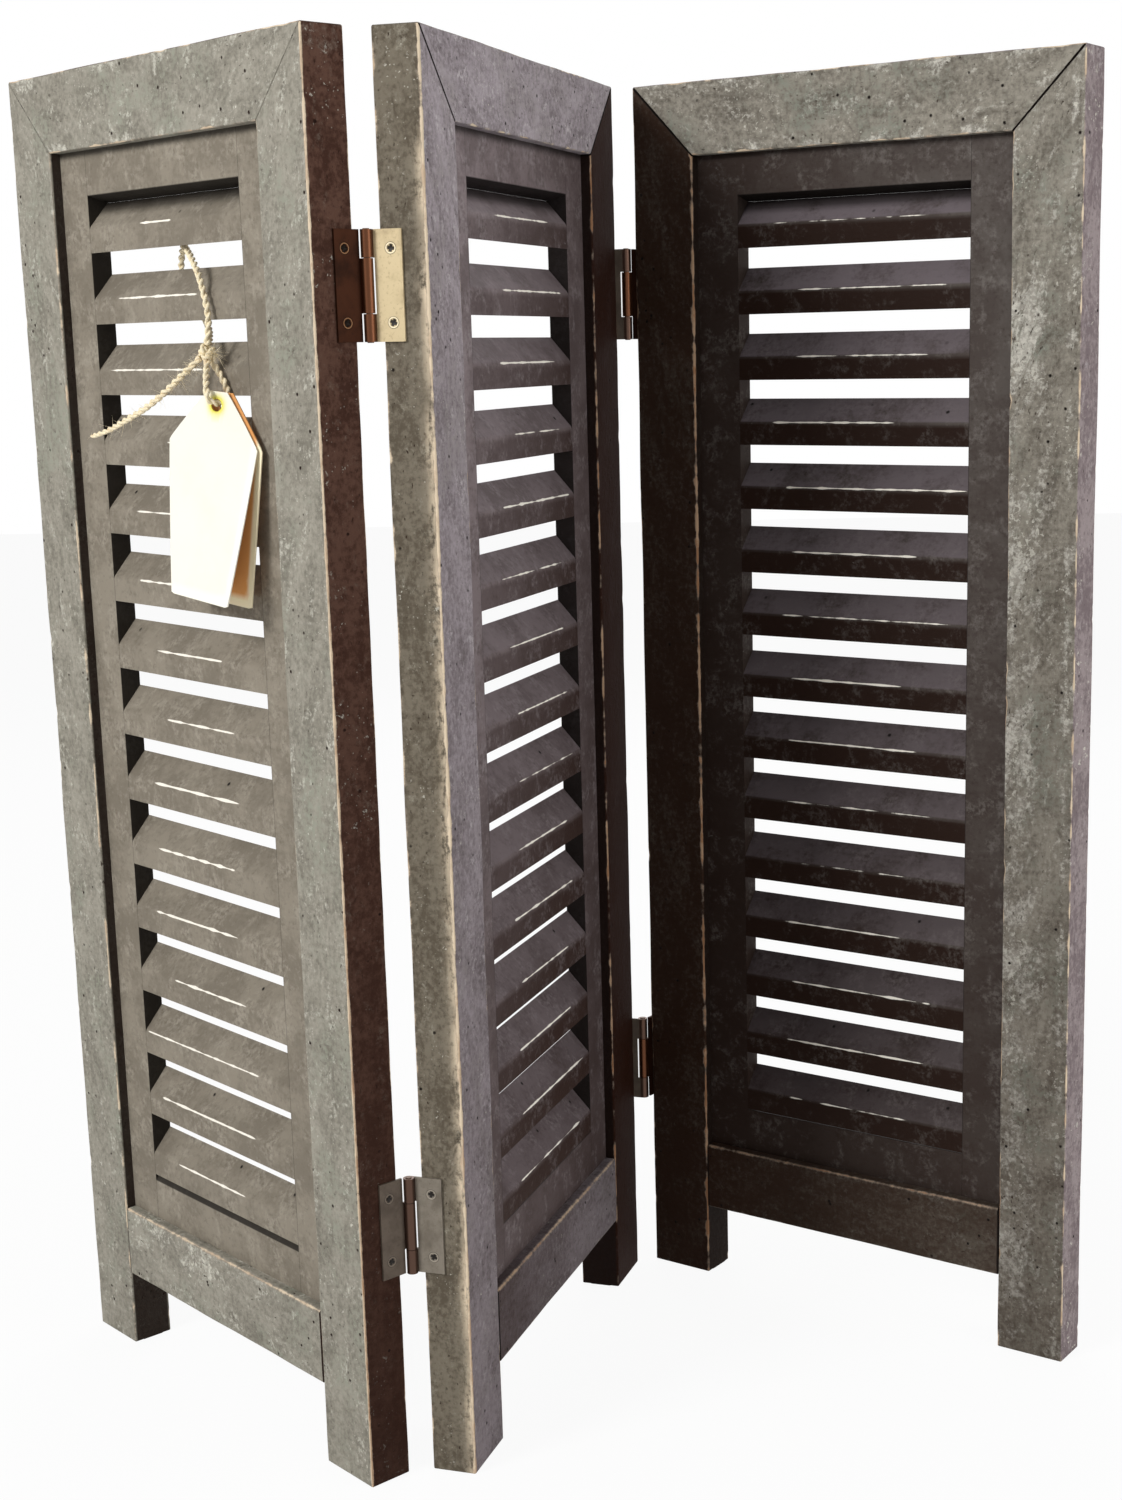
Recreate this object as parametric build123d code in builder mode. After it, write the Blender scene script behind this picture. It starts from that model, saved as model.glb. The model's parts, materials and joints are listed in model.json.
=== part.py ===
from build123d import *
import math
import os

# A free-standing folding shutter of three louvred panels, seen from the front:
# left, middle and right. The left panel folds behind the middle one and the
# right panel folds in front of it. All sizes are in millimetres, angles in degrees.

# Panel frame
panel_height = 700.0
panel_width = 272.0
panel_thickness = 23.0
stile_width = 39.0
top_rail_height = 39.0
leg_height = 43.0
bottom_rail_height = 39.5
frame_arris = 0.7
bottom_rail_arris = 2.2
groove_depth = 6.0

# Louvre leaf, held in a groove round the inside of the frame
leaf_thickness = 11.0
leaf_stile_face = 26.0
leaf_rail_face = 22.5
slat_count = 15
slat_face = 12.8
slat_slope = 49.0
slat_nose = 0.8
end_slot = 3.2
slat_seat = 0.3
tenon_length = 4.0
tenon_shoulder = 2.2
tenon_clearance = 0.05

# Folding angles between neighbouring faces as the shutter stands
left_fold = 60.0
right_fold = 73.0
middle_turn = 73.0
straight_open = 180.0

# Butt hinges
hinge_height = 50.0
hinge_leaf_on_wood = 11.0
hinge_leaf_thickness = 1.2
barrel_radius = 2.75
pin_radius = 1.5
pin_clearance = 0.05
pin_standoff = 5.5
pin_tip = 0.4
middle_knuckle = 24.4
knuckle_clearance = 0.3
barrel_clearance = 0.2
upper_hinge_from_top = 113.0
lower_hinge_centre = 132.5
screw_spacing = 33.0
screw_hole_radius = 1.6
screw_head_radius = 2.9

# Two blank swing tags on a twine, tied round the second slat of the left panel
twine_diameter = 3.0
twine_sides = 6
twine_arc_share = 0.45
knot_width = 9.6
knot_height = 10.0
knot_sides = 8
knot_chamfer = 2.4
card_width = 55.0
card_height = 100.0
card_thickness = 0.6
card_top_width = 11.0
card_shoulder_drop = 25.0
card_hole_radius = 3.0
card_hole_drop = 6.5
card_seat = 0.3
front_card_out = 5.0
front_card_lean = 11.0
front_card_turn = 8.0
front_card_tip = -2.0
back_card_out = 0.0
back_card_lean = 9.5
back_card_turn = 0.0
back_card_tip = 2.6

# The twine's routes, chosen by hand: across the left panel, up it and out of its face
knot_place = (179.5, 558.5, -0.5)
slat_loop_route = [
    (181.0, 562.3, 0.2),
    (181.2, 573.5, -2.0),
    (177.0, 587.5, -2.4),
    (164.6, 600.6, -6.0),
    (148.0, 609.0, -11.5),
    (134.5, 611.6, -18.2),
    (127.5, 600.6, -20.2),
    (133.0, 589.5, -18.6),
    (145.0, 579.0, -19.3),
    (157.6, 572.2, -15.6),
    (168.0, 567.0, -9.8),
    (177.0, 561.5, -3.2),
]
tail_route = [
    (176.6, 556.5, 1.5),
    (170.0, 549.0, 7.2),
    (160.4, 540.6, 12.0),
    (148.2, 532.8, 16.2),
    (134.6, 527.2, 19.6),
    (120.6, 521.6, 22.2),
    (106.8, 519.0, 23.6),
]
tag_loop_route = [
    (182.0, 554.6, 1.2),
    (186.6, 547.8, 5.0),
    (191.4, 541.8, 8.4),
    (193.6, 535.4, 9.2),
    (192.6, 534.6, -3.6),
    (190.0, 542.2, -3.8),
    (185.4, 549.2, -3.2),
    (179.6, 554.6, -2.6),
]
tag_run_start = 3

# Sizes that follow from the ones above
leaf_front = (panel_thickness - leaf_thickness) / 2
leaf_back = leaf_front + leaf_thickness
bottom_rail_top = leg_height + bottom_rail_height
frame_inner_top = panel_height - top_rail_height
leaf_left = stile_width - groove_depth
leaf_right = panel_width - leaf_left
leaf_bottom = bottom_rail_top - groove_depth
leaf_top = frame_inner_top + groove_depth
slot_left = stile_width + leaf_stile_face
slot_right = panel_width - slot_left
slots_bottom = bottom_rail_top + leaf_rail_face
slots_top = frame_inner_top - leaf_rail_face
slat_rise = leaf_thickness * math.tan(math.radians(slat_slope))
top_crest = slots_top - end_slot - slat_rise
bottom_crest = slots_bottom + end_slot + slat_face
closing_drop = end_slot - slat_seat
last_underside = slots_bottom + end_slot + slat_rise
slat_pitch = (top_crest - bottom_crest) / (slat_count - 1)
crest_heights = [top_crest - slat_pitch * row for row in range(slat_count)]
upper_hinge_centre = panel_height - upper_hinge_from_top


def panel_directions(turn):
    """Return the direction across a panel and the direction its front faces."""
    angle = math.radians(turn)
    across = Vector(math.cos(angle), math.sin(angle), 0)
    front = Vector(math.sin(angle), -math.cos(angle), 0)
    return across, front


def panel_plane(corner, turn):
    """Return the front plane of a panel, across it as X and up it as Y."""
    across, front = panel_directions(turn)
    return Plane(origin=corner, x_dir=across, z_dir=front)


# The panels stand on a zigzag: each neighbour is turned about the pin line that
# it shares with the middle panel.
left_turn = middle_turn - (straight_open - left_fold)
right_turn = middle_turn - (straight_open - right_fold)
across_left, front_left = panel_directions(left_turn)
across_middle, front_middle = panel_directions(middle_turn)
across_right, front_right = panel_directions(right_turn)
pin_beyond_edge = barrel_radius
pin_behind = panel_thickness + pin_standoff

middle_corner = Vector(0, 0, 0)
left_pin = middle_corner - across_middle * pin_beyond_edge - front_middle * pin_behind
left_corner = left_pin - across_left * (panel_width + pin_beyond_edge) + front_left * pin_behind
right_pin = (
    middle_corner
    + across_middle * (panel_width + pin_beyond_edge)
    + front_middle * pin_standoff
)
right_corner = right_pin + across_right * pin_beyond_edge - front_right * pin_standoff

# The origin is on the floor, under the middle of the box round the whole shutter.
footprint = []
for corner, turn in (
    (left_corner, left_turn),
    (middle_corner, middle_turn),
    (right_corner, right_turn),
):
    across, front = panel_directions(turn)
    for along in (0, panel_width):
        for depth in (0, panel_thickness):
            footprint.append(corner + across * along - front * depth)
centre = Vector(
    (min(point.X for point in footprint) + max(point.X for point in footprint)) / 2,
    (min(point.Y for point in footprint) + max(point.Y for point in footprint)) / 2,
    0,
)
left_plane = panel_plane(left_corner - centre, left_turn)
middle_plane = panel_plane(middle_corner - centre, middle_turn)
right_plane = panel_plane(right_corner - centre, right_turn)


def section_plane(panel, along):
    """Return the plane across a panel's thickness at a distance from its left edge.

    Its X runs from the front face into the panel and its Y runs up.
    """
    return Plane(
        origin=panel.from_local_coords((along, 0, 0)),
        x_dir=-panel.z_dir,
        z_dir=panel.x_dir,
    )


def save(piece, name):
    """Label a finished piece and write it to its own file."""
    piece.part.label = name
    export_step(piece.part, f"parts/{name}.step")


def slat_outline(shrink):
    """Draw one slat end on its side, its front crest at the origin.

    The slat is a slanting bar: flush with both faces of the leaf, low at the
    front and high at the back, with its two crests eased. The outline can be
    shrunk all round, as for the tenon on its end.
    """
    with BuildSketch() as outline:
        with BuildLine():
            Polyline(
                (0, 0),
                (leaf_thickness, slat_rise),
                (leaf_thickness, slat_rise - slat_face),
                (0, -slat_face),
                close=True,
            )
        make_face()
        if shrink > 0:
            offset(amount=-shrink, kind=Kind.INTERSECTION)
        else:
            corners = outline.vertices().sort_by(Axis.X)
            crests = [corners[:2].sort_by(Axis.Y)[-1], corners[2:].sort_by(Axis.Y)[0]]
            chamfer(crests, length=slat_nose)
    return outline.sketch


slat_section = slat_outline(0)
tenon_section = slat_outline(tenon_shoulder)
mortise_section = slat_outline(tenon_shoulder - tenon_clearance)


def make_frame_stile(panel, name, is_left):
    """Make an upright of the frame: a leg below, a mitre above, a groove inside.

    Its arrises are eased on both faces, so the mitre shows as a fine V.
    """
    outer = 0 if is_left else panel_width
    inner = stile_width if is_left else panel_width - stile_width
    groove_end = leaf_left if is_left else leaf_right
    with BuildPart() as stile:
        with BuildSketch(panel):
            with BuildLine():
                Polyline(
                    (outer, 0),
                    (inner, 0),
                    (inner, frame_inner_top),
                    (outer, panel_height),
                    close=True,
                )
            make_face()
        extrude(amount=-panel_thickness)
        faces = stile.faces().filter_by(Axis(panel.origin, panel.z_dir))
        chamfer(faces.edges(), length=frame_arris)
        with BuildSketch(panel.offset(-leaf_front)):
            with BuildLine():
                Polyline(
                    (inner, leg_height),
                    (groove_end, leg_height),
                    (groove_end, leaf_top),
                    (inner, frame_inner_top),
                    close=True,
                )
            make_face()
        extrude(amount=-leaf_thickness, mode=Mode.SUBTRACT)
    save(stile, name)


def make_frame_top_rail(panel, name):
    """Make the top rail: mitred at both ends, with the groove in its underside."""
    with BuildPart() as rail:
        with BuildSketch(panel):
            with BuildLine():
                Polyline(
                    (0, panel_height),
                    (stile_width, frame_inner_top),
                    (panel_width - stile_width, frame_inner_top),
                    (panel_width, panel_height),
                    close=True,
                )
            make_face()
        extrude(amount=-panel_thickness)
        faces = rail.faces().filter_by(Axis(panel.origin, panel.z_dir))
        chamfer(faces.edges(), length=frame_arris)
        with BuildSketch(panel.offset(-leaf_front)):
            with BuildLine():
                Polyline(
                    (stile_width, frame_inner_top),
                    (leaf_left, leaf_top),
                    (leaf_right, leaf_top),
                    (panel_width - stile_width, frame_inner_top),
                    close=True,
                )
            make_face()
        extrude(amount=-leaf_thickness, mode=Mode.SUBTRACT)
    save(rail, name)


def make_frame_bottom_rail(panel, name):
    """Make the bottom rail: a rounded top, a groove in it and a stub tenon each end."""
    inner_width = panel_width - 2 * stile_width
    with BuildPart() as rail:
        with BuildSketch(section_plane(panel, stile_width)):
            with Locations((0, leg_height)):
                Rectangle(panel_thickness, bottom_rail_height, align=(Align.MIN, Align.MIN))
        extrude(amount=inner_width)
        arrises = rail.edges().filter_by(Axis(panel.origin, panel.x_dir))
        fillet(arrises.group_by(Axis.Z)[-1], radius=bottom_rail_arris)
        lower_arrises = rail.edges().filter_by(Axis(panel.origin, panel.x_dir)).group_by(Axis.Z)[0]
        chamfer(lower_arrises, length=frame_arris)
        with BuildSketch(section_plane(panel, stile_width)):
            with Locations((leaf_front, leaf_bottom)):
                Rectangle(leaf_thickness, groove_depth, align=(Align.MIN, Align.MIN))
        extrude(amount=inner_width, mode=Mode.SUBTRACT)
        for along in (leaf_left, panel_width - stile_width):
            with BuildSketch(section_plane(panel, along)):
                with Locations((leaf_front, leg_height)):
                    Rectangle(
                        leaf_thickness,
                        leaf_bottom - leg_height,
                        align=(Align.MIN, Align.MIN),
                    )
            extrude(amount=groove_depth)
    save(rail, name)


def make_leaf_stile(panel, name, is_left):
    """Make an upright of the louvre leaf, with a slanting mortise for every slat."""
    start = leaf_left if is_left else slot_right
    slat_end = slot_left if is_left else slot_right
    mortise_depth = tenon_length + slat_seat
    with BuildPart() as stile:
        with BuildSketch(section_plane(panel, start)):
            with Locations((leaf_front, leaf_bottom)):
                Rectangle(leaf_thickness, leaf_top - leaf_bottom, align=(Align.MIN, Align.MIN))
        extrude(amount=slot_left - leaf_left)
        with BuildSketch(section_plane(panel, slat_end)):
            with Locations([(leaf_front, height) for height in crest_heights]):
                add(mortise_section)
        extrude(amount=-mortise_depth if is_left else mortise_depth, mode=Mode.SUBTRACT)
    save(stile, name)


def make_leaf_rail(panel, name, front_edge, back_edge, outer_edge):
    """Make a rail of the louvre leaf, its inner edge sloped to meet the nearest slat."""
    with BuildPart() as rail:
        with BuildSketch(section_plane(panel, slot_left)):
            with BuildLine():
                Polyline(
                    (leaf_front, front_edge),
                    (leaf_back, back_edge),
                    (leaf_back, outer_edge),
                    (leaf_front, outer_edge),
                    close=True,
                )
            make_face()
        extrude(amount=slot_right - slot_left)
    save(rail, name)


def make_slats(panel, name):
    """Make the row of slanting slats, with a stub tenon on each end of every slat."""
    rows = [(leaf_front, height) for height in crest_heights]
    with BuildPart() as slats:
        with BuildSketch(section_plane(panel, slot_left)):
            with Locations(rows):
                add(slat_section)
        extrude(amount=slot_right - slot_left)
        for along in (slot_left - tenon_length, slot_right):
            with BuildSketch(section_plane(panel, along)):
                with Locations(rows):
                    add(tenon_section)
            extrude(amount=tenon_length)
    save(slats, name)


def hinge_plane(panel, is_left_edge, is_back, height):
    """Return the level plane of a hinge leaf at its mid height, on the pin line.

    Its X points from the pin to the panel's edge and its Y from the pin towards
    the wood, so that every leaf is drawn the same way.
    """
    across = panel.x_dir if is_left_edge else -panel.x_dir
    inward = panel.z_dir if is_back else -panel.z_dir
    pin_along = -pin_beyond_edge if is_left_edge else panel_width + pin_beyond_edge
    pin_depth = pin_behind if is_back else -pin_standoff
    return Plane(
        origin=panel.from_local_coords((pin_along, height, -pin_depth)),
        x_dir=across,
        z_dir=across.cross(inward),
    )


def make_hinge_leaf(level, name, has_end_knuckles):
    """Make one leaf of a butt hinge: a screwed plate and its share of the barrel."""
    plate_start = barrel_radius + barrel_clearance
    plate_end = pin_standoff + hinge_leaf_on_wood
    plate_inside = barrel_radius - hinge_leaf_thickness
    half_height = hinge_height / 2
    half_middle = middle_knuckle / 2
    if has_end_knuckles:
        knuckle_start = half_middle + knuckle_clearance
        knuckles = [(knuckle_start, half_height), (-half_height, -knuckle_start)]
    else:
        knuckles = [(-half_middle, half_middle)]
    with BuildPart() as leaf:
        with BuildSketch(level):
            with Locations((plate_inside, plate_start)):
                Rectangle(
                    hinge_leaf_thickness,
                    plate_end - plate_start,
                    align=(Align.MIN, Align.MIN),
                )
        extrude(amount=half_height, both=True)
        for knuckle_bottom, knuckle_top in knuckles:
            with BuildSketch(level.offset(knuckle_bottom)):
                Circle(barrel_radius)
                with Locations((plate_inside, 0)):
                    Rectangle(hinge_leaf_thickness, plate_start, align=(Align.MIN, Align.MIN))
                Circle(pin_radius + pin_clearance, mode=Mode.SUBTRACT)
            extrude(amount=knuckle_top - knuckle_bottom)
        screw_middle = pin_standoff + hinge_leaf_on_wood / 2
        screw_plane = Plane(
            origin=level.from_local_coords((plate_inside, screw_middle, 0)),
            x_dir=level.z_dir,
            z_dir=-level.x_dir,
        )
        with Locations(screw_plane):
            with GridLocations(screw_spacing, 0, 2, 1):
                CounterSinkHole(
                    radius=screw_hole_radius,
                    counter_sink_radius=screw_head_radius,
                    depth=hinge_leaf_thickness,
                    counter_sink_angle=90,
                )
    save(leaf, name)


def make_hinge_pin(pin_line, height, name):
    """Make the pin of a hinge, its two ends just proud of the barrel."""
    pin_bottom = height - hinge_height / 2 - pin_tip
    with BuildPart() as pin:
        with BuildSketch(Plane(origin=(pin_line.X, pin_line.Y, pin_bottom))):
            Circle(pin_radius)
        extrude(amount=hinge_height + 2 * pin_tip)
    save(pin, name)


def bend_radii(route):
    """Work out the largest arc that each corner of a twine route has room for."""
    points = [Vector(*point) for point in route]
    radii = []
    for before, corner, after in zip(points, points[1:], points[2:]):
        run_in = corner - before
        run_out = after - corner
        half_turn = math.radians(run_in.get_angle(run_out)) / 2
        shorter_run = min(run_in.length, run_out.length)
        radii.append(twine_arc_share * shorter_run / math.tan(half_turn))
    return radii


def make_twine(panel, route, name):
    """Make one stretch of the twine: straight runs joined by tangent arcs."""
    radii = bend_radii(route)
    print(name, "bends", [round(radius, 1) for radius in radii])
    with BuildPart() as twine:
        with BuildLine(panel) as path:
            FilletPolyline(*route, radius=radii)
        with BuildSketch(Plane(origin=path.line @ 0, z_dir=path.line % 0)):
            RegularPolygon(radius=twine_diameter / 2, side_count=twine_sides)
        sweep()
    save(twine, name)


def make_knot(panel, name):
    """Make the knot that gathers the four ends of the twine."""
    knot_bottom = panel.from_local_coords(knot_place) - Vector(0, 0, knot_height / 2)
    with BuildPart() as knot:
        with BuildSketch(Plane(origin=knot_bottom, x_dir=panel.x_dir)):
            RegularPolygon(radius=knot_width / 2, side_count=knot_sides, major_radius=False)
        extrude(amount=knot_height)
        ends = knot.faces().filter_by(Axis.Z)
        chamfer(ends.edges(), length=knot_chamfer)
    save(knot, name)


def card_plane(panel, out, lean, turn, tip):
    """Return the plane of a tag that hangs on the twine, where the twine crosses it.

    The lean swings the tag's foot to the left, the turn brings its left edge
    forward and the tip brings its head forward.
    """
    run_start = Vector(*tag_loop_route[tag_run_start])
    run_end = Vector(*tag_loop_route[tag_run_start + 1])
    share = (run_start.Z - out) / (run_start.Z - run_end.Z)
    crossing = run_start + (run_end - run_start) * share
    upright = Plane(
        origin=panel.from_local_coords(crossing),
        x_dir=panel.x_dir,
        z_dir=panel.z_dir,
    )
    return Plane(upright.location * Rotation(tip, turn, -lean))


def make_card(card, name):
    """Make a swing tag: a thin card with clipped shoulders that hangs by its hole."""
    hole_height = -(card_hole_radius - twine_diameter / 2 - card_seat)
    top = hole_height + card_hole_drop
    shoulder = top - card_shoulder_drop
    with BuildPart() as tag:
        with BuildSketch(card):
            with BuildLine():
                Polyline(
                    (-card_top_width / 2, top),
                    (card_top_width / 2, top),
                    (card_width / 2, shoulder),
                    (card_width / 2, top - card_height),
                    (-card_width / 2, top - card_height),
                    (-card_width / 2, shoulder),
                    close=True,
                )
            make_face()
            with Locations((0, hole_height)):
                Circle(card_hole_radius, mode=Mode.SUBTRACT)
        extrude(amount=card_thickness / 2, both=True)
    save(tag, name)


os.makedirs("parts", exist_ok=True)

# Three panels of nine pieces each
for side, panel in (("left", left_plane), ("middle", middle_plane), ("right", right_plane)):
    make_frame_stile(panel, f"{side}_frame_stile_a", True)
    make_frame_stile(panel, f"{side}_frame_stile_b", False)
    make_frame_top_rail(panel, f"{side}_frame_top_rail")
    make_frame_bottom_rail(panel, f"{side}_frame_bottom_rail")
    make_leaf_stile(panel, f"{side}_leaf_stile_a", True)
    make_leaf_stile(panel, f"{side}_leaf_stile_b", False)
    make_leaf_rail(
        panel, f"{side}_leaf_top_rail", slots_top, slots_top - closing_drop, leaf_top
    )
    # Only the left panel shows a dark slot under its last slat
    bottom_rail_name = f"{side}_leaf_bottom_rail"
    if side == "left":
        make_leaf_rail(
            panel, bottom_rail_name, slots_bottom, last_underside - slat_seat, leaf_bottom
        )
    else:
        make_leaf_rail(
            panel, bottom_rail_name, slots_bottom + closing_drop, slots_bottom, leaf_bottom
        )
    make_slats(panel, f"{side}_slats")

# Two hinges at each fold: the middle panel's leaves hold the end knuckles and the pin
for place, height in (("upper", upper_hinge_centre), ("lower", lower_hinge_centre)):
    left_leaf_plane = hinge_plane(left_plane, False, True, height)
    left_fixed_plane = hinge_plane(middle_plane, True, True, height)
    right_fixed_plane = hinge_plane(middle_plane, False, False, height)
    right_leaf_plane = hinge_plane(right_plane, True, False, height)
    make_hinge_leaf(left_leaf_plane, f"left_hinge_{place}_moving_leaf", False)
    make_hinge_leaf(left_fixed_plane, f"left_hinge_{place}_fixed_leaf", True)
    make_hinge_leaf(right_fixed_plane, f"right_hinge_{place}_fixed_leaf", True)
    make_hinge_leaf(right_leaf_plane, f"right_hinge_{place}_moving_leaf", False)
    make_hinge_pin(left_pin - centre, height, f"left_hinge_{place}_pin")
    make_hinge_pin(right_pin - centre, height, f"right_hinge_{place}_pin")

# The twine and its two tags hang from the left panel
make_knot(left_plane, "twine_knot")
make_twine(left_plane, slat_loop_route, "twine_slat_loop")
make_twine(left_plane, tail_route, "twine_tail")
make_twine(left_plane, tag_loop_route, "twine_tag_loop")
front_card = card_plane(
    left_plane, front_card_out, front_card_lean, front_card_turn, front_card_tip
)
back_card = card_plane(left_plane, back_card_out, back_card_lean, back_card_turn, back_card_tip)
make_card(front_card, "tag_front_card")
make_card(back_card, "tag_back_card")
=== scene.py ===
import json
import logging
import math
from dataclasses import dataclass, field
from enum import Enum

import bpy
import numpy as np
from mathutils import Matrix, Vector


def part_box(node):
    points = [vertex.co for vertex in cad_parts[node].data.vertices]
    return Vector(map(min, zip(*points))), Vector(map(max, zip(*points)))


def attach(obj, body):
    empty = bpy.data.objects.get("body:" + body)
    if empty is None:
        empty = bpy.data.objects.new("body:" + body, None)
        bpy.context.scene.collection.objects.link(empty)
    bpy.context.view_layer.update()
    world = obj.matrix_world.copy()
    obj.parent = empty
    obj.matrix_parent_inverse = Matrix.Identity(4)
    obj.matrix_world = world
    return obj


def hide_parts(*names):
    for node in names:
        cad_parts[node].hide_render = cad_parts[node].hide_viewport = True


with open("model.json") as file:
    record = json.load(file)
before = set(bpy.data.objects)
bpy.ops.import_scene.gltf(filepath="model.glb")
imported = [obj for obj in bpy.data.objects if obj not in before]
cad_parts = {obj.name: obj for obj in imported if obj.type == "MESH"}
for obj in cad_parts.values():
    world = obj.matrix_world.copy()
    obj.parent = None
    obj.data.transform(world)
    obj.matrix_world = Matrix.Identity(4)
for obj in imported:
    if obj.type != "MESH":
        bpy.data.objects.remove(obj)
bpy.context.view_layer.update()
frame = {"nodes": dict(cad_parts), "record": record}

log = logging.getLogger("folding_shutter")

# All lengths are in metres and all colours are linear.
MM = 0.001
# How near a face of a section a point counts as lying on it.
ON_FACE = 0.5 * MM

Array = np.ndarray
Triple = tuple[float, float, float]
Colour = tuple[float, float, float, float]
Batches = list[tuple[Array, int, float]]
Route = list[Triple]
Socket = bpy.types.NodeSocket


class Side(Enum):
    """The three panels, seen from the front."""

    LEFT = "left"
    MIDDLE = "middle"
    RIGHT = "right"

    @property
    def body(self) -> str:
        """Name of the body that the panel moves with."""
        return f"{self.value}_panel"


class Lay(Enum):
    """How a frame batten lies in its panel."""

    LEFT_STILE = "frame_stile_a"
    RIGHT_STILE = "frame_stile_b"
    TOP_RAIL = "frame_top_rail"
    BOTTOM_RAIL = "frame_bottom_rail"


@dataclass(frozen=True)
class PanelSize:
    """Real sizes that the three panels share."""

    width: float = 272 * MM
    height: float = 700 * MM
    thickness: float = 23 * MM
    stile: float = 39 * MM
    top_rail: float = 39 * MM
    leg: float = 43 * MM
    bottom_rail: float = 39.5 * MM
    groove: float = 6 * MM
    leaf_thickness: float = 11 * MM
    leaf_stile: float = 26 * MM
    leaf_rail: float = 22.5 * MM
    slats: int = 15
    slat_face: float = 12.8 * MM
    slat_slope: float = math.radians(49)
    end_slot: float = 3.2 * MM
    slat_seat: float = 0.02 * MM

    @property
    def leaf_front(self) -> float:
        """Depth of the louvre leaf's front face."""
        return (self.thickness - self.leaf_thickness) / 2

    @property
    def slot_left(self) -> float:
        """Where the slots start, from the panel's left edge."""
        return self.stile + self.leaf_stile

    @property
    def rail_top(self) -> float:
        """Height of the bottom rail's upper face."""
        return self.leg + self.bottom_rail

    @property
    def inner_top(self) -> float:
        """Height of the top rail's lower face."""
        return self.height - self.top_rail

    @property
    def slat_rise(self) -> float:
        """How much higher a slat's back is than its front."""
        return self.leaf_thickness * math.tan(self.slat_slope)

    def crests(self) -> Array:
        """Work out the heights of the slats' front crests.

        They are even between the two leaf rails, an end slot away from each.

        Returns:
            The heights, from the top.
        """
        top = self.inner_top - self.leaf_rail - self.end_slot - self.slat_rise
        bottom = self.rail_top + self.leaf_rail + self.end_slot + self.slat_face
        return np.linspace(top, bottom, self.slats)


SIZE = PanelSize()


class PanelPlace:
    """Where one panel stands: its own across, depth and up directions."""

    def __init__(self, side: Side) -> None:
        """Read the panel's place from its two feet.

        Args:
            side: which panel.
        """
        feet = {m["name"]: Vector(m["pos_m"]) for m in frame["record"]["mounts"]}
        left, right = feet[f"{side.value}_foot_a"], feet[f"{side.value}_foot_b"]
        self.side = side
        self.across = (right - left).normalized()
        self.inward = Vector((-self.across.y, self.across.x, 0))
        self.turn = math.atan2(self.across.y, self.across.x)
        self.corner = left - self.across * SIZE.stile / 2 - self.inward * SIZE.thickness / 2

    def row(self, across: Array, depth: Array, up: Array) -> Array:
        """Turn panel coordinates into the shared frame.

        Args:
            across: distances from the panel's left edge.
            depth: distances from its front face into it.
            up: heights above the floor.

        Returns:
            Points, with x, y and z on the last axis.
        """
        across, depth, up = np.broadcast_arrays(across, depth, up)
        flat = (
            np.array(self.corner)[:2]
            + across[..., None] * np.array(self.across)[:2]
            + depth[..., None] * np.array(self.inward)[:2]
        )
        return np.concatenate([flat, up[..., None]], axis=-1)

    def point(self, across: float, out: float, up: float) -> Vector:
        """Return the place of one point that stands a distance out of the face."""
        return Vector(self.row(np.array(across), np.array(-out), np.array(up)).tolist())


PLACES = {side: PanelPlace(side) for side in Side}


def ripple(along: Array, pitch: float, seed: int, waves: int = 7) -> Array:
    """Make an uneven wave: a sum of sines of unlike pitch and phase.

    Args:
        along: distances.
        pitch: the middle wavelength.
        seed: picks the pitches and phases.
        waves: how many sines.

    Returns:
        Values that mostly lie between -1 and 1.
    """
    draw = np.random.default_rng(seed)
    lengths = pitch * draw.uniform(0.35, 2.2, waves)
    phases = draw.uniform(0, 2 * math.pi, waves)
    turns = 2 * math.pi * np.asarray(along)[..., None] / lengths + phases
    return np.sin(turns).sum(-1) / math.sqrt(waves)


def smooth(value: Array, low: float, high: float) -> Array:
    """Ease from 0 at low to 1 at high by the cubic 3 s squared less 2 s cubed."""
    share = np.clip((value - low) / (high - low), 0, 1)
    return share * share * (3 - 2 * share)


def rounded_outline(
    corners: Array, radii: list[float], steps: list[int], arc: int = 5
) -> Array:
    """Make a closed outline whose corners are eased by parabolas.

    Each side runs from the end of one arc to the start of the next, with its
    points closest together beside the arcs, by a cosine.

    Args:
        corners: the sharp corners, in order.
        radii: how far each corner is eased along its two sides.
        steps: how many points lie inside the side after each corner.
        arc: how many points each eased corner has.

    Returns:
        The outline's points, one a row.
    """
    count = len(corners)
    into = corners - np.roll(corners, 1, axis=0)
    into /= np.linalg.norm(into, axis=1)[:, None]
    out = np.roll(into, -1, axis=0)
    pieces = []
    for index in range(count):
        following = (index + 1) % count
        start = corners[index] - into[index] * radii[index]
        end = corners[index] + out[index] * radii[index]
        share = np.linspace(0, 1, arc if radii[index] > 0 else 1)[:, None]
        pieces.append(
            (1 - share) ** 2 * start + 2 * share * (1 - share) * corners[index] + share**2 * end
        )
        stop = corners[following] - into[following] * radii[following]
        ease = (1 - np.cos(np.linspace(0, math.pi, steps[index] + 2)[1:-1])) / 2
        pieces.append(end + ease[:, None] * (stop - end))
    return np.concatenate(pieces)


def outward(outline: Array) -> Array:
    """Work out the outward direction at each point of a closed outline.

    It is the line from the point before to the point after, turned a quarter.

    Args:
        outline: the outline's points, one a row.

    Returns:
        Unit directions, one a row.
    """
    tangent = np.roll(outline, -1, axis=0) - np.roll(outline, 1, axis=0)
    tangent /= np.linalg.norm(tangent, axis=1)[:, None]
    x, y = outline.T
    clockwise = np.sum(x * np.roll(y, -1) - y * np.roll(x, -1)) < 0
    normal = np.stack([tangent[:, 1], -tangent[:, 0]], axis=1)
    return -normal if clockwise else normal


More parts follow.
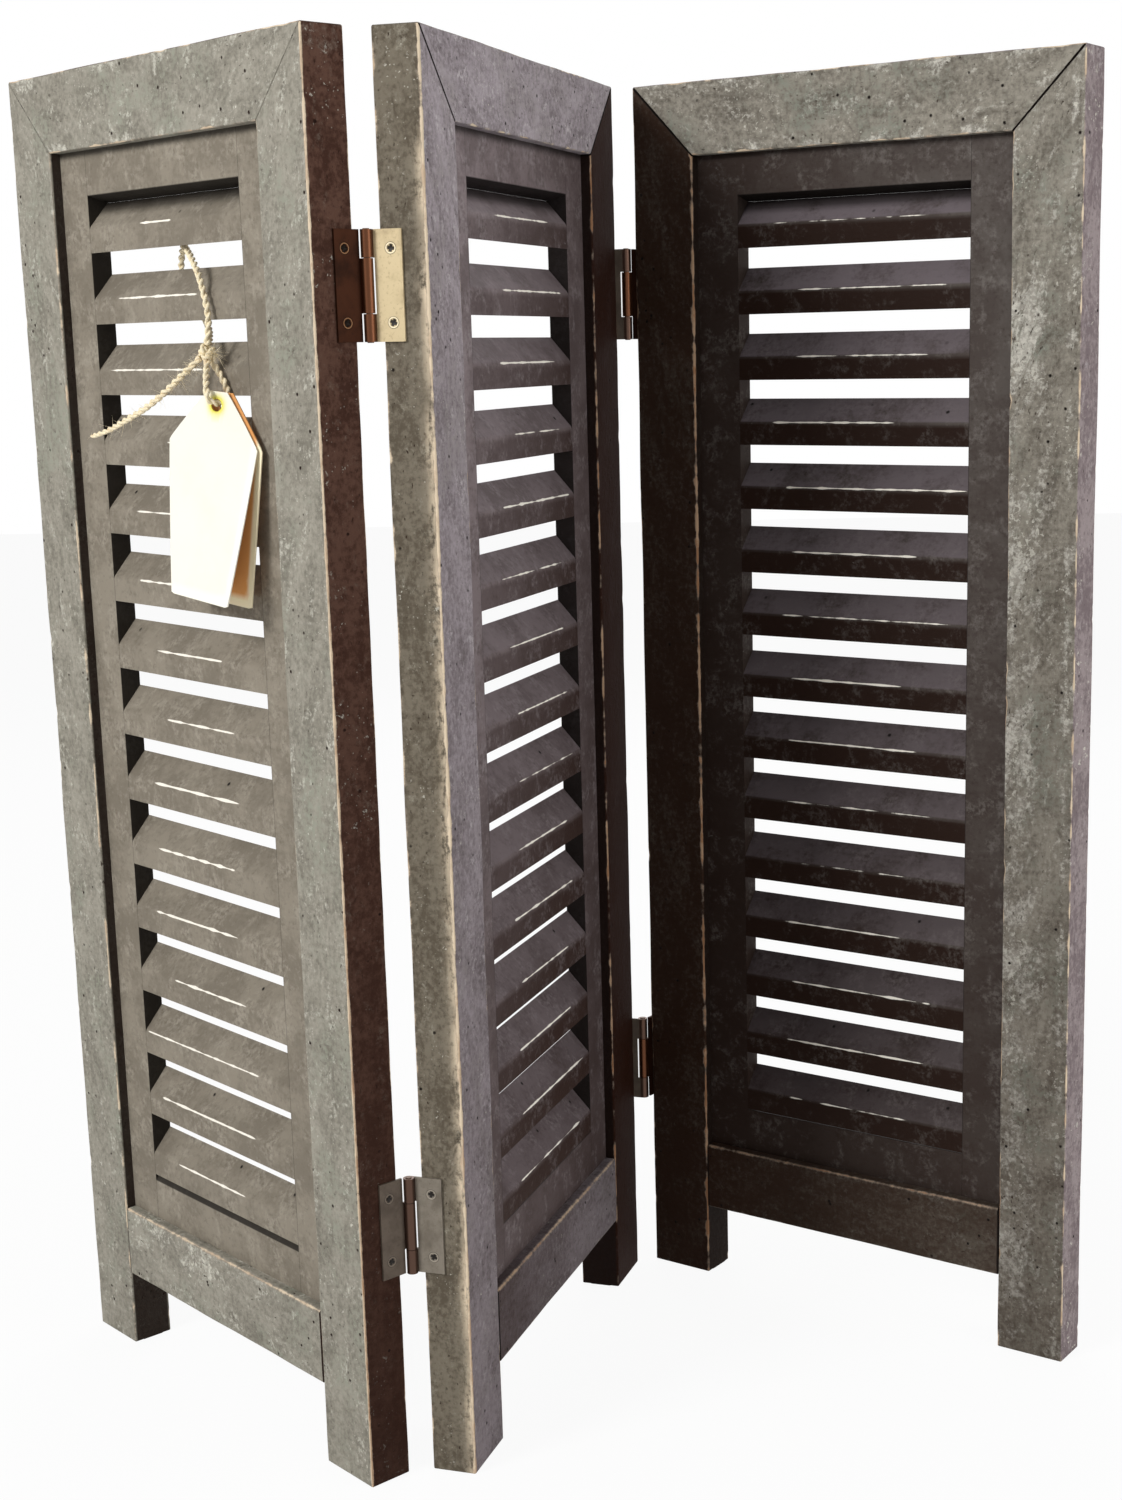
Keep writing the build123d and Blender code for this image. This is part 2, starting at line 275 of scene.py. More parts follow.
def tube_faces(count: int, rows: int, columns: int) -> list[list[int]]:
    """List the faces of closed tubes: quads along them and one cap at each end.

    Args:
        count: how many tubes, one after another.
        rows: rings in each tube.
        columns: points in each ring.

    Returns:
        Point numbers of every face.
    """
    index = np.arange(count * rows * columns).reshape(count, rows, columns)
    beside = np.roll(index, -1, axis=2)
    quads = np.stack([index[:, :-1], beside[:, :-1], beside[:, 1:], index[:, 1:]], axis=-1)
    first = index[:, 0, ::-1]
    last = index[:, -1]
    return quads.reshape(-1, 4).tolist() + first.tolist() + last.tolist()


def signed_volume(points: Array, faces: list[list[int]]) -> float:
    """Add up a number that has the sign of the volume inside the faces.

    It is the sum over the quads of the triple products of their corners, seen
    from the middle of all points.

    Args:
        points: the corners, one a row.
        faces: point numbers of every face; only quads are counted.

    Returns:
        A number below zero where the faces point inwards.
    """
    quads = np.array([face for face in faces if len(face) == 4])
    a, b, c, d = (points[quads[:, k]] for k in range(4))
    middle = points.mean(0)
    a, b, c, d = a - middle, b - middle, c - middle, d - middle
    return float(np.sum(a * np.cross(b, c)) + np.sum(a * np.cross(c, d)))


def put_mesh(
    name: str,
    points: Array,
    faces: list[list[int]],
    values: dict[str, Array] | None = None,
    sharp: float = 35,
) -> bpy.types.Object:
    """Put points and faces into a smooth-shaded mesh with its faces outwards.

    Args:
        name: the piece's name.
        points: any array with x, y and z on its last axis.
        faces: point numbers of every face.
        values: numbers or vectors for each point that the finish reads.
        sharp: edges with more degrees than this stay sharp.

    Returns:
        The new object, at the origin.
    """
    flat = points.reshape(-1, 3)
    if signed_volume(flat, faces) < 0:
        faces = [face[::-1] for face in faces]
    mesh = bpy.data.meshes.new(name)
    mesh.from_pydata(flat.tolist(), [], faces)
    for key, value in (values or {}).items():
        is_vector = np.shape(value) == points.shape
        layer = mesh.attributes.new(key, "FLOAT_VECTOR" if is_vector else "FLOAT", "POINT")
        field_name = "vector" if is_vector else "value"
        layer.data.foreach_set(field_name, np.asarray(value, np.float32).ravel())
    mesh.polygons.foreach_set("use_smooth", np.ones(len(mesh.polygons), bool))
    mesh.set_sharp_from_angle(angle=math.radians(sharp))
    mesh.update()
    piece = bpy.data.objects.new(name, mesh)
    bpy.context.scene.collection.objects.link(piece)
    return piece


def fit(piece: bpy.types.Object, body: str, slot: str, *nodes: str) -> bpy.types.Object:
    """Hand a finished piece to its body and hide the CAD nodes that it stands for.

    Args:
        piece: the finished piece.
        body: name of the body that it rides on.
        slot: not used.
        nodes: names of the CAD nodes that it replaces, if any.

    Returns:
        The same piece.
    """
    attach(piece, body)
    if nodes:
        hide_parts(*nodes)
    log.info("%s: %d points", piece.name, len(piece.data.vertices))
    return piece


class Graph:
    """Builds the nodes of one material."""

    def __init__(self, name: str) -> None:
        """Start a material with one surface shader.

        Args:
            name: the material's name.
        """
        self.material = bpy.data.materials.new(name)
        self.material.use_nodes = True
        self.nodes = self.material.node_tree.nodes
        self.links = self.material.node_tree.links
        self.surface = self.nodes["Principled BSDF"]
        self.object_coords = self.nodes.new("ShaderNodeTexCoord").outputs["Object"]

    def set(self, **values: float | Colour) -> None:
        """Set sockets of the surface shader, with underscores for spaces."""
        for key, value in values.items():
            self.surface.inputs[key.replace("_", " ")].default_value = value

    def link(self, source: Socket, target: str) -> None:
        """Link a value to a socket of the surface shader."""
        self.links.new(source, self.surface.inputs[target])

    def feed(self, socket: Socket, value: Socket | float | Colour) -> None:
        """Link or set one socket.

        Args:
            socket: the socket to feed.
            value: another node's output, or a constant.
        """
        if isinstance(value, bpy.types.NodeSocket):
            self.links.new(value, socket)
        else:
            socket.default_value = value

    def coords(
        self,
        place: PanelPlace | None = None,
        stretch: Triple = (1, 1, 1),
    ) -> Socket:
        """Return object coordinates, turned to a panel's own and stretched.

        Args:
            place: the panel, or None for the shared frame.
            stretch: how many times each pattern is longer along each direction.

        Returns:
            Across, depth and up, in metres.
        """
        coords = self.object_coords
        if place is not None:
            turned = self.nodes.new("ShaderNodeMapping")
            moved = Matrix.Rotation(-place.turn, 3, "Z") @ place.corner
            turned.inputs["Rotation"].default_value = (0, 0, -place.turn)
            turned.inputs["Location"].default_value = -moved
            self.links.new(coords, turned.inputs["Vector"])
            coords = turned.outputs["Vector"]
        return self.pull(coords, stretch)

    def own(self, name: str, stretch: Triple = (1, 1, 1)) -> Socket:
        """Return a vector that the piece's own points carry, stretched like coords.

        Args:
            name: the attribute's name.
            stretch: how many times each pattern is longer along each direction.

        Returns:
            The vector.
        """
        node = self.nodes.new("ShaderNodeAttribute")
        node.attribute_name = name
        return self.pull(node.outputs["Vector"], stretch)

    def pull(self, coords: Socket, stretch: Triple) -> Socket:
        """Make a pattern so many times longer along each direction.

        Args:
            coords: the coordinates that the pattern reads.
            stretch: how many times longer, for each direction.

        Returns:
            The new coordinates.
        """
        if stretch == (1, 1, 1):
            return coords
        pulled = self.nodes.new("ShaderNodeMapping")
        pulled.inputs["Scale"].default_value = [1 / times for times in stretch]
        self.links.new(coords, pulled.inputs["Vector"])
        return pulled.outputs["Vector"]

    def height(self, coords: Socket) -> Socket:
        """Return how high a point lies.

        Args:
            coords: coordinates whose third one is up.

        Returns:
            The height, in metres.
        """
        split = self.nodes.new("ShaderNodeSeparateXYZ")
        self.links.new(coords, split.inputs["Vector"])
        return split.outputs["Z"]

    def from_line(self, x: float, y: float) -> Socket:
        """Return the distance from an upright line.

        Args:
            x: where the line passes, in the shared frame.
            y: likewise.

        Returns:
            The distance, in metres.
        """
        flat = self.nodes.new("ShaderNodeMapping")
        flat.inputs["Scale"].default_value = (1, 1, 0)
        flat.inputs["Location"].default_value = (-x, -y, 0)
        self.links.new(self.object_coords, flat.inputs["Vector"])
        length = self.nodes.new("ShaderNodeVectorMath")
        length.operation = "LENGTH"
        self.links.new(flat.outputs["Vector"], length.inputs[0])
        return length.outputs["Value"]

    def noise(
        self,
        coords: Socket,
        size: float,
        detail: float = 5,
        rough: float = 0.6,
        distortion: float = 0,
    ) -> Socket:
        """Return a cloudy pattern round 0.5.

        Args:
            coords: the coordinates that it reads.
            size: about how wide its blotches are.
            detail: how many finer layers it has.
            rough: how strong the finer layers are.
            distortion: how far the pattern is swirled.

        Returns:
            The pattern.
        """
        node = self.nodes.new("ShaderNodeTexNoise")
        node.inputs["Scale"].default_value = 1 / size
        node.inputs["Detail"].default_value = detail
        node.inputs["Roughness"].default_value = rough
        node.inputs["Distortion"].default_value = distortion
        self.links.new(coords, node.inputs["Vector"])
        return node.outputs["Fac"]

    def cells(self, coords: Socket, size: float) -> tuple[Socket, Socket]:
        """Scatter points and look for the nearest one.

        Args:
            coords: the coordinates that the points lie in.
            size: about how far apart they are.

        Returns:
            The distance from the nearest point, and that point's own tint.
        """
        node = self.nodes.new("ShaderNodeTexVoronoi")
        node.inputs["Scale"].default_value = 1 / size
        self.links.new(coords, node.inputs["Vector"])
        return node.outputs["Distance"], node.outputs["Color"]

    def value(self, name: str) -> Socket:
        """Return a number that the piece's own points carry.

        Args:
            name: the attribute's name.

        Returns:
            The number.
        """
        node = self.nodes.new("ShaderNodeAttribute")
        node.attribute_name = name
        return node.outputs["Fac"]

    def ease(self, value: Socket, low: float, high: float) -> Socket:
        """Ease a value from 0 at low to 1 at high.

        Args:
            value: the value.
            low: where it starts; it may be above high, for a falling ease.
            high: where it ends.

        Returns:
            The share, from 0 to 1.
        """
        node = self.nodes.new("ShaderNodeMapRange")
        node.interpolation_type = "SMOOTHSTEP"
        node.inputs["From Min"].default_value = low
        node.inputs["From Max"].default_value = high
        self.links.new(value, node.inputs["Value"])
        return node.outputs["Result"]

    def sum(self, a: Socket | float, b: Socket | float, times: float = 1) -> Socket:
        """Return a plus b times a number.

        Args:
            a: the first value.
            b: the second value.
            times: the number.

        Returns:
            The sum, not held to any range.
        """
        node = self.nodes.new("ShaderNodeMath")
        node.operation = "MULTIPLY_ADD"
        self.feed(node.inputs[0], b)
        node.inputs[1].default_value = times
        self.feed(node.inputs[2], a)
        return node.outputs["Value"]

    def times(self, a: Socket | float, b: Socket | float) -> Socket:
        """Return a times b, held between 0 and 1.

        Args:
            a: the first value.
            b: the second value.

        Returns:
            The product.
        """
        node = self.nodes.new("ShaderNodeMath")
        node.operation = "MULTIPLY"
        node.use_clamp = True
        self.feed(node.inputs[0], a)
        self.feed(node.inputs[1], b)
        return node.outputs["Value"]

    def mix(self, share: Socket | float, a: Socket | Colour, b: Socket | Colour) -> Socket:
        """Mix two colours.

        Args:
            share: how much of b there is.
            a: the first colour.
            b: the second colour.

        Returns:
            The mixed colour.
        """
        node = self.nodes.new("ShaderNodeMix")
        node.data_type = "RGBA"
        self.feed(node.inputs["Factor"], share)
        self.feed(node.inputs[6], a)
        self.feed(node.inputs[7], b)
        return node.outputs[2]

    def bump(self, height: Socket, depth: float, strength: float = 1) -> None:
        """Raise the surface by a height.

        Args:
            height: the height, where 1 stands for the depth.
            depth: how high that is, in metres.
            strength: how much of it shows.
        """
        node = self.nodes.new("ShaderNodeBump")
        node.inputs["Strength"].default_value = strength
        node.inputs["Distance"].default_value = depth
        self.links.new(height, node.inputs["Height"])
        self.links.new(node.outputs["Normal"], self.surface.inputs["Normal"])


def opaque(red: float, green: float, blue: float) -> Colour:
    """Return an opaque colour."""
    return (red, green, blue, 1.0)


@dataclass(frozen=True)
class WornPaint:
    """Weathered paint of a panel's frame, rubbed to bare wood at the arrises."""

    name: str
    deep: Colour
    body: Colour
    chalk: Colour
    patina: Colour
    edge: Colour
    edge_deep: Colour
    edge_pale: Colour
    shade: Colour
    bare: Colour = opaque(0.80, 0.66, 0.48)
    under: Colour = opaque(0.36, 0.29, 0.23)
    speck: Colour = opaque(0.80, 0.77, 0.67)
    seam: Colour = opaque(0.009, 0.006, 0.005)
    rust: Colour = opaque(0.34, 0.17, 0.085)
    chalk_from: float = 0.53
    speck_from: float = 0.64
    left_over: float = 0.12
    grain_size: float = 1.6 * MM
    pore_size: float = 1.9 * MM
    dot_size: float = 2.1 * MM
    fine_size: float = 3.0 * MM
    chip_size: float = 3.6 * MM
    streak_size: float = 6 * MM
    pit_size: float = 7 * MM
    patch_size: float = 12 * MM
    cloud_size: float = 26 * MM
    spread_size: float = 32 * MM
    tint_size: float = 60 * MM
    relief: float = 0.8 * MM

    def make(self, place: PanelPlace) -> bpy.types.Material:
        """Build the material.

        Its layers, one over another: paint in two tones, a greenish patina,
        chalky patches, the edge faces' stain, which is partly painted shade,
        pale chips and specks, painted shade, partly dark paint, on the dark
        battens, dark pits and pores, a soft rubbed band on an edge face, bare
        wood along the arrises, dirt in the seams, and painted shade on the
        inner faces beside the leaf.

        Args:
            place: the panel whose directions the round patterns follow.

        Returns:
            The material.
        """
        graph = Graph(self.name)
        coords = graph.coords(place)
        grain = graph.noise(graph.own("lie", (1, 1, 10)), self.grain_size, 5, 0.7)
        streak = graph.noise(graph.own("lie", (1, 1, 3)), self.streak_size, 5, 0.68, 0.5)
        cloud = graph.noise(graph.own("lie", (1, 1, 1.5)), self.cloud_size, 7, 0.74, 0.4)
        patches = graph.noise(graph.own("lie", (1, 1, 1.4)), self.patch_size, 7, 0.78, 0.3)
        fine = graph.noise(coords, self.fine_size, 5, 0.68, 0.1)
        tint = graph.noise(coords, self.tint_size, 6, 0.7)
        chips = graph.noise(coords, self.chip_size, 4, 0.66, 0.2)
        where = graph.noise(coords, self.spread_size, 6, 0.7)
        near, own = graph.cells(coords, self.pit_size)
        dot, dot_own = graph.cells(coords, self.dot_size)
        pores = graph.noise(graph.own("lie", (1, 1, 2.0)), self.pore_size, 3, 0.6)
        lift = graph.value("lift")

        ground = graph.sum(graph.sum(graph.times(cloud, 0.42), streak, 0.18), fine, 0.40)
        colour = graph.mix(graph.ease(ground, 0.37, 0.60), self.deep, self.body)
        greened = graph.times(graph.ease(tint, 0.48, 0.62), graph.ease(fine, 0.40, 0.60))
        colour = graph.mix(graph.times(greened, 0.7), colour, self.patina)
        chalky = graph.times(
            graph.ease(graph.sum(patches, lift, 0.09), self.chalk_from, self.chalk_from + 0.10),
            graph.sum(graph.times(graph.ease(fine, 0.44, 0.60), 0.62), lift, 0.38),
        )
        colour = graph.mix(chalky, colour, self.chalk)
        # The edge faces' colour: stain, and partly painted shade set by how each panel's edge faces
        # the light.
        stained_and_shaded = graph.mix(graph.ease(ground, 0.43, 0.57), self.edge_deep, self.edge)
        washed = graph.times(
            graph.ease(graph.sum(patches, lift, 0.12), 0.53, 0.70), graph.ease(fine, 0.40, 0.60)
        )
        stained_and_shaded = graph.mix(graph.times(washed, 0.6), stained_and_shaded, self.edge_pale)
        colour = graph.mix(graph.value("edge_face"), colour, stained_and_shaded)
        chosen = graph.times(graph.ease(dot_own, 0.60, 0.70), graph.ease(where, 0.44, 0.60))
        flecks = graph.times(graph.ease(dot, 0.22, 0.10), chosen)
        chipped = graph.times(
            graph.ease(graph.sum(chips, lift, 0.07), self.speck_from, self.speck_from + 0.03),
            graph.ease(graph.sum(where, lift, 0.08), 0.48, 0.60),
        )
        specks = graph.times(graph.sum(graph.times(flecks, 0.7), chipped), 0.6)
        colour = graph.mix(specks, colour, self.speck)
        # Painted shade, partly dark paint: where the tone is high the colour goes to the near-black
        # shade colour, on the battens by the folds and towards some feet.
        left_over = graph.times(graph.ease(ground, 0.47, 0.66), self.left_over)
        shaded = graph.mix(left_over, self.shade, colour)
        colour = graph.mix(graph.value("tone"), colour, shaded)
        pits = graph.times(graph.ease(near, 0.15, 0.06), graph.ease(own, 0.72, 0.80))
        holes = graph.times(
            graph.ease(graph.sum(pores, lift, -0.03), 0.36, 0.29), graph.ease(where, 0.60, 0.46)
        )
        colour = graph.mix(pits, colour, self.seam)
        colour = graph.mix(graph.times(holes, 0.85), colour, self.shade)

        uneven = graph.ease(graph.sum(streak, fine, 0.5), 0.56, 0.80)
        colour = graph.mix(graph.times(graph.value("band"), uneven), colour, self.bare)
        rough_edge = graph.sum(graph.sum(-0.48, fine, 0.75), grain, 0.2)
        rubbed = graph.sum(rough_edge, graph.value("bare"))
        colour = graph.mix(graph.times(graph.ease(rubbed, 0.18, 0.46), 0.45), colour, self.under)
        bare = graph.ease(rubbed, 0.36, 0.62)
        in_dark = graph.times(graph.value("tone"), 0.75)
        rusty = graph.sum(in_dark, graph.ease(cloud, 0.48, 0.60), 0.4)
        wood = graph.mix(graph.times(rusty, 1.0), self.bare, self.rust)
        colour = graph.mix(graph.times(bare, 0.9), colour, wood)
        gap = graph.value("seam")
        ragged = graph.ease(graph.sum(gap, fine, 2.2), 1.25, 1.6)
        seam = graph.times(ragged, graph.ease(gap, 0.02, 0.4))
        colour = graph.mix(seam, colour, self.seam)
        # Painted shade: the inner faces beside the leaf are darkened to the seam colour.
        colour = graph.mix(graph.value("recess"), colour, self.seam)
        graph.link(colour, "Base Color")
        graph.set(Specular_IOR_Level=0.07)
        rough = graph.sum(0.66, chalky, 0.16)
        graph.link(graph.sum(rough, fine, 0.12), "Roughness")
        height = graph.sum(graph.sum(fine, chalky, 0.3), pits, -1.2)
        height = graph.sum(graph.sum(height, specks, 0.3), holes, -0.5)
        height = graph.sum(graph.sum(height, seam, -1.0), streak, 0.5)
        graph.bump(graph.sum(height, bare, -0.3), self.relief, 0.9)
        return graph.material


@dataclass(frozen=True)
class LeafPaint:
    """Smoother matte paint of the louvre leaf, rubbed through along the crests."""

    name: str
    deep: Colour
    body: Colour
    haze: Colour
    top_light: Colour
    shade: Colour
    bare: Colour = opaque(0.92, 0.87, 0.77)
    pit_and_shade: Colour = opaque(0.008, 0.006, 0.005)
    rail_shadow: float = 0.75
    fine_size: float = 2.6 * MM
    brush_size: float = 3 * MM
    scuff_size: float = 5 * MM
    haze_size: float = 14 * MM
    pit_size: float = 15 * MM
    cloud_size: float = 34 * MM
    rail_shadow_reach: tuple[float, float] = (5 * MM, 0.5 * MM)
    relief: float = 0.35 * MM

    def make(self, place: PanelPlace) -> bpy.types.Material:
        """Build the material.

        Clouded paint with brush marks, a thin haze and scuffs, painted shade
        where the tone is high, painted light on what faces up, pits, painted
        shadow under the frame's top rail and in the recesses, and rubbed lines.

        Args:
            place: the panel whose directions the patterns follow.

        Returns:
            The material.
        """
        graph = Graph(self.name)
        coords = graph.coords(place)
        cloud = graph.noise(coords, self.cloud_size, 6, 0.68, 0.2)
        brushed = graph.noise(graph.coords(place, (9, 1, 1)), self.brush_size, 5, 0.7)
        fine = graph.noise(coords, self.fine_size, 4, 0.68)
        hazy = graph.noise(coords, self.haze_size, 6, 0.74, 0.4)
        lengthwise = graph.coords(place, (2.2, 1, 1))
        scuffs = graph.noise(lengthwise, self.scuff_size, 6, 0.75, 0.8)
        near, own = graph.cells(coords, self.pit_size)

        ground = graph.sum(graph.sum(graph.times(cloud, 0.66), brushed, 0.12), fine, 0.22)
        colour = graph.mix(graph.ease(ground, 0.42, 0.58), self.deep, self.body)
        haze = graph.times(graph.ease(hazy, 0.47, 0.64), graph.ease(fine, 0.38, 0.60))
        colour = graph.mix(graph.times(haze, 0.7), colour, self.haze)
        grime = graph.times(graph.ease(fine, 0.42, 0.30), 0.25)
        colour = graph.mix(grime, colour, self.shade)
        # Painted shade, partly darker paint, where the tone is high: the leaf's shaded corners and
        # the slats' front bands.
        shaded = graph.mix(graph.times(haze, 0.3), self.shade, colour)
        colour = graph.mix(graph.value("tone"), colour, shaded)
        # Painted light: faces that slope up are lighter, as if lit from above.
        lit_share = graph.times(graph.value("top_light"), graph.ease(ground, 0.30, 0.54))
        colour = graph.mix(lit_share, colour, self.top_light)
        scuffed = graph.times(graph.ease(scuffs, 0.64, 0.70), graph.ease(hazy, 0.48, 0.58))
        colour = graph.mix(graph.times(scuffed, 0.55), colour, self.haze)
        pits = graph.times(graph.ease(near, 0.10, 0.04), graph.ease(own, 0.66, 0.74))
        colour = graph.mix(pits, colour, self.pit_and_shade)
        # Painted shadow under the frame's top rail: the leaf darkens towards its top edge.
        far, near_rail = (SIZE.inner_top - reach for reach in self.rail_shadow_reach)
        high = graph.ease(graph.height(coords), far, near_rail)
        colour = graph.mix(graph.times(high, self.rail_shadow), colour, self.pit_and_shade)
        rubbed = graph.sum(graph.value("bare"), fine, 0.30)
        bare = graph.ease(rubbed, 0.50, 0.68)
        colour = graph.mix(bare, colour, self.bare)
        # Painted shade in the recesses: the stile's wall, the rails' sloped faces and the back of
        # the first slat.
        colour = graph.mix(graph.value("recess"), colour, self.pit_and_shade)
        graph.link(colour, "Base Color")
        graph.set(Specular_IOR_Level=0.09)
        graph.link(graph.sum(0.5, fine, 0.25), "Roughness")
        height = graph.sum(graph.sum(graph.times(brushed, 0.4), fine, 0.8), pits, -1.5)
        graph.bump(graph.sum(height, scuffed, 0.5), self.relief, 0.8)
        return graph.material


@dataclass(frozen=True)
class DullBrass:
    """Browned brass of a hinge, its barrel darker than its plate."""

    name: str
    bright: Colour
    brown: Colour
    barrel: Colour = opaque(0.12, 0.048, 0.024)
    # Painted highlight on the screw heads' rims.
    rim: Colour = opaque(0.72, 0.60, 0.42)
    # Painted shade in the screws' cross recesses and round their heads.
    hollow: Colour = opaque(0.010, 0.007, 0.005)
    rough: float = 0.42
    metal: float = 0.5
    barrel_reach: float = 2.9 * MM
    spot_size: float = 1.7 * MM
    cloud_size: float = 14 * MM
    relief: float = 0.08 * MM

    def make(self, pin: tuple[float, float] = (0.0, 0.0)) -> bpy.types.Material:
        """Build the material.

        Args:
            pin: where the pin's upright line passes; the barrel round it has
                its own colours.

        Returns:
            The material.
        """
        graph = Graph(self.name)
        coords = graph.coords()
        cloud = graph.noise(coords, self.cloud_size, 5, 0.6, 0.2)
        spots = graph.noise(coords, self.spot_size, 4, 0.7)
        brown = graph.times(graph.ease(cloud, 0.42, 0.68), 0.85)
        colour = graph.mix(brown, self.bright, self.brown)
        colour = graph.mix(graph.times(graph.ease(spots, 0.56, 0.66), 0.5), colour, self.brown)
        round_pin = graph.ease(graph.from_line(*pin), self.barrel_reach * 1.12, self.barrel_reach)
        colour = graph.mix(round_pin, colour, self.barrel)
        # Painted highlight on each screw head's rim.
        colour = graph.mix(graph.times(graph.value("rim"), 0.8), colour, self.rim)
        # Painted shade in each screw's cross recess and round its head.
        colour = graph.mix(graph.value("recess"), colour, self.hollow)
        graph.link(colour, "Base Color")
        graph.set(Specular_IOR_Level=0.5)
        graph.link(graph.sum(self.metal, round_pin, 0.95 - self.metal), "Metallic")
        rough = graph.sum(self.rough, cloud, 0.25)
        graph.link(graph.sum(rough, round_pin, -0.2), "Roughness")
        graph.bump(graph.sum(cloud, spots, 0.3), self.relief, 0.3)
        return graph.material


@dataclass(frozen=True)
class CardStock:
    """Blank card of a swing tag, with faint fibres."""

    name: str
    face: Colour
    shade: Colour
    ring: Colour
    margin: Colour
    fibre_size: float = 1.1 * MM
    cloud_size: float = 30 * MM
    relief: float = 0.08 * MM

    def make(self) -> bpy.types.Material:
        """Build the material, with a colour round the hole and painted light at the margins.

        Returns:
            The material.
        """
        graph = Graph(self.name)
        coords = graph.coords()
        fibre = graph.noise(coords, self.fibre_size, 5, 0.7)
        cloud = graph.noise(coords, self.cloud_size, 4, 0.5)
        colour = graph.mix(graph.times(graph.ease(cloud, 0.40, 0.75), 0.3), self.face, self.shade)
        colour = graph.mix(graph.times(graph.ease(fibre, 0.55, 0.75), 0.25), colour, self.shade)
        # Painted light: paler margins.
        colour = graph.mix(graph.value("margin"), colour, self.margin)
        colour = graph.mix(graph.value("ring"), colour, self.ring)
        graph.link(colour, "Base Color")
        graph.set(Roughness=0.85, Specular_IOR_Level=0.2)
        graph.bump(fibre, self.relief, 0.5)
        return graph.material


@dataclass(frozen=True)
class Jute:
    """Rough pale twine whose fibres follow its twist."""

    name: str = "jute"
    pale: Colour = opaque(0.95, 0.84, 0.60)
    dark: Colour = opaque(0.52, 0.30, 0.14)
    fibre_size: float = 0.7 * MM
    cloud_size: float = 6 * MM
    relief: float = 0.3 * MM

    def make(self) -> bpy.types.Material:
        """Build the material from two noises, one for fibres and one for stains.

        Returns:
            The material.
        """
        graph = Graph(self.name)
        coords = graph.coords()
        fibre = graph.noise(coords, self.fibre_size, 5, 0.7, 0.8)
        cloud = graph.noise(coords, self.cloud_size, 3, 0.5)
        colour = graph.mix(graph.ease(fibre, 0.50, 0.80), self.pale, self.dark)
        colour = graph.mix(graph.times(graph.ease(cloud, 0.52, 0.75), 0.4), colour, self.dark)
        graph.link(colour, "Base Color")
        graph.set(Roughness=0.9, Specular_IOR_Level=0.15)
        graph.bump(fibre, self.relief, 0.8)
        return graph.material


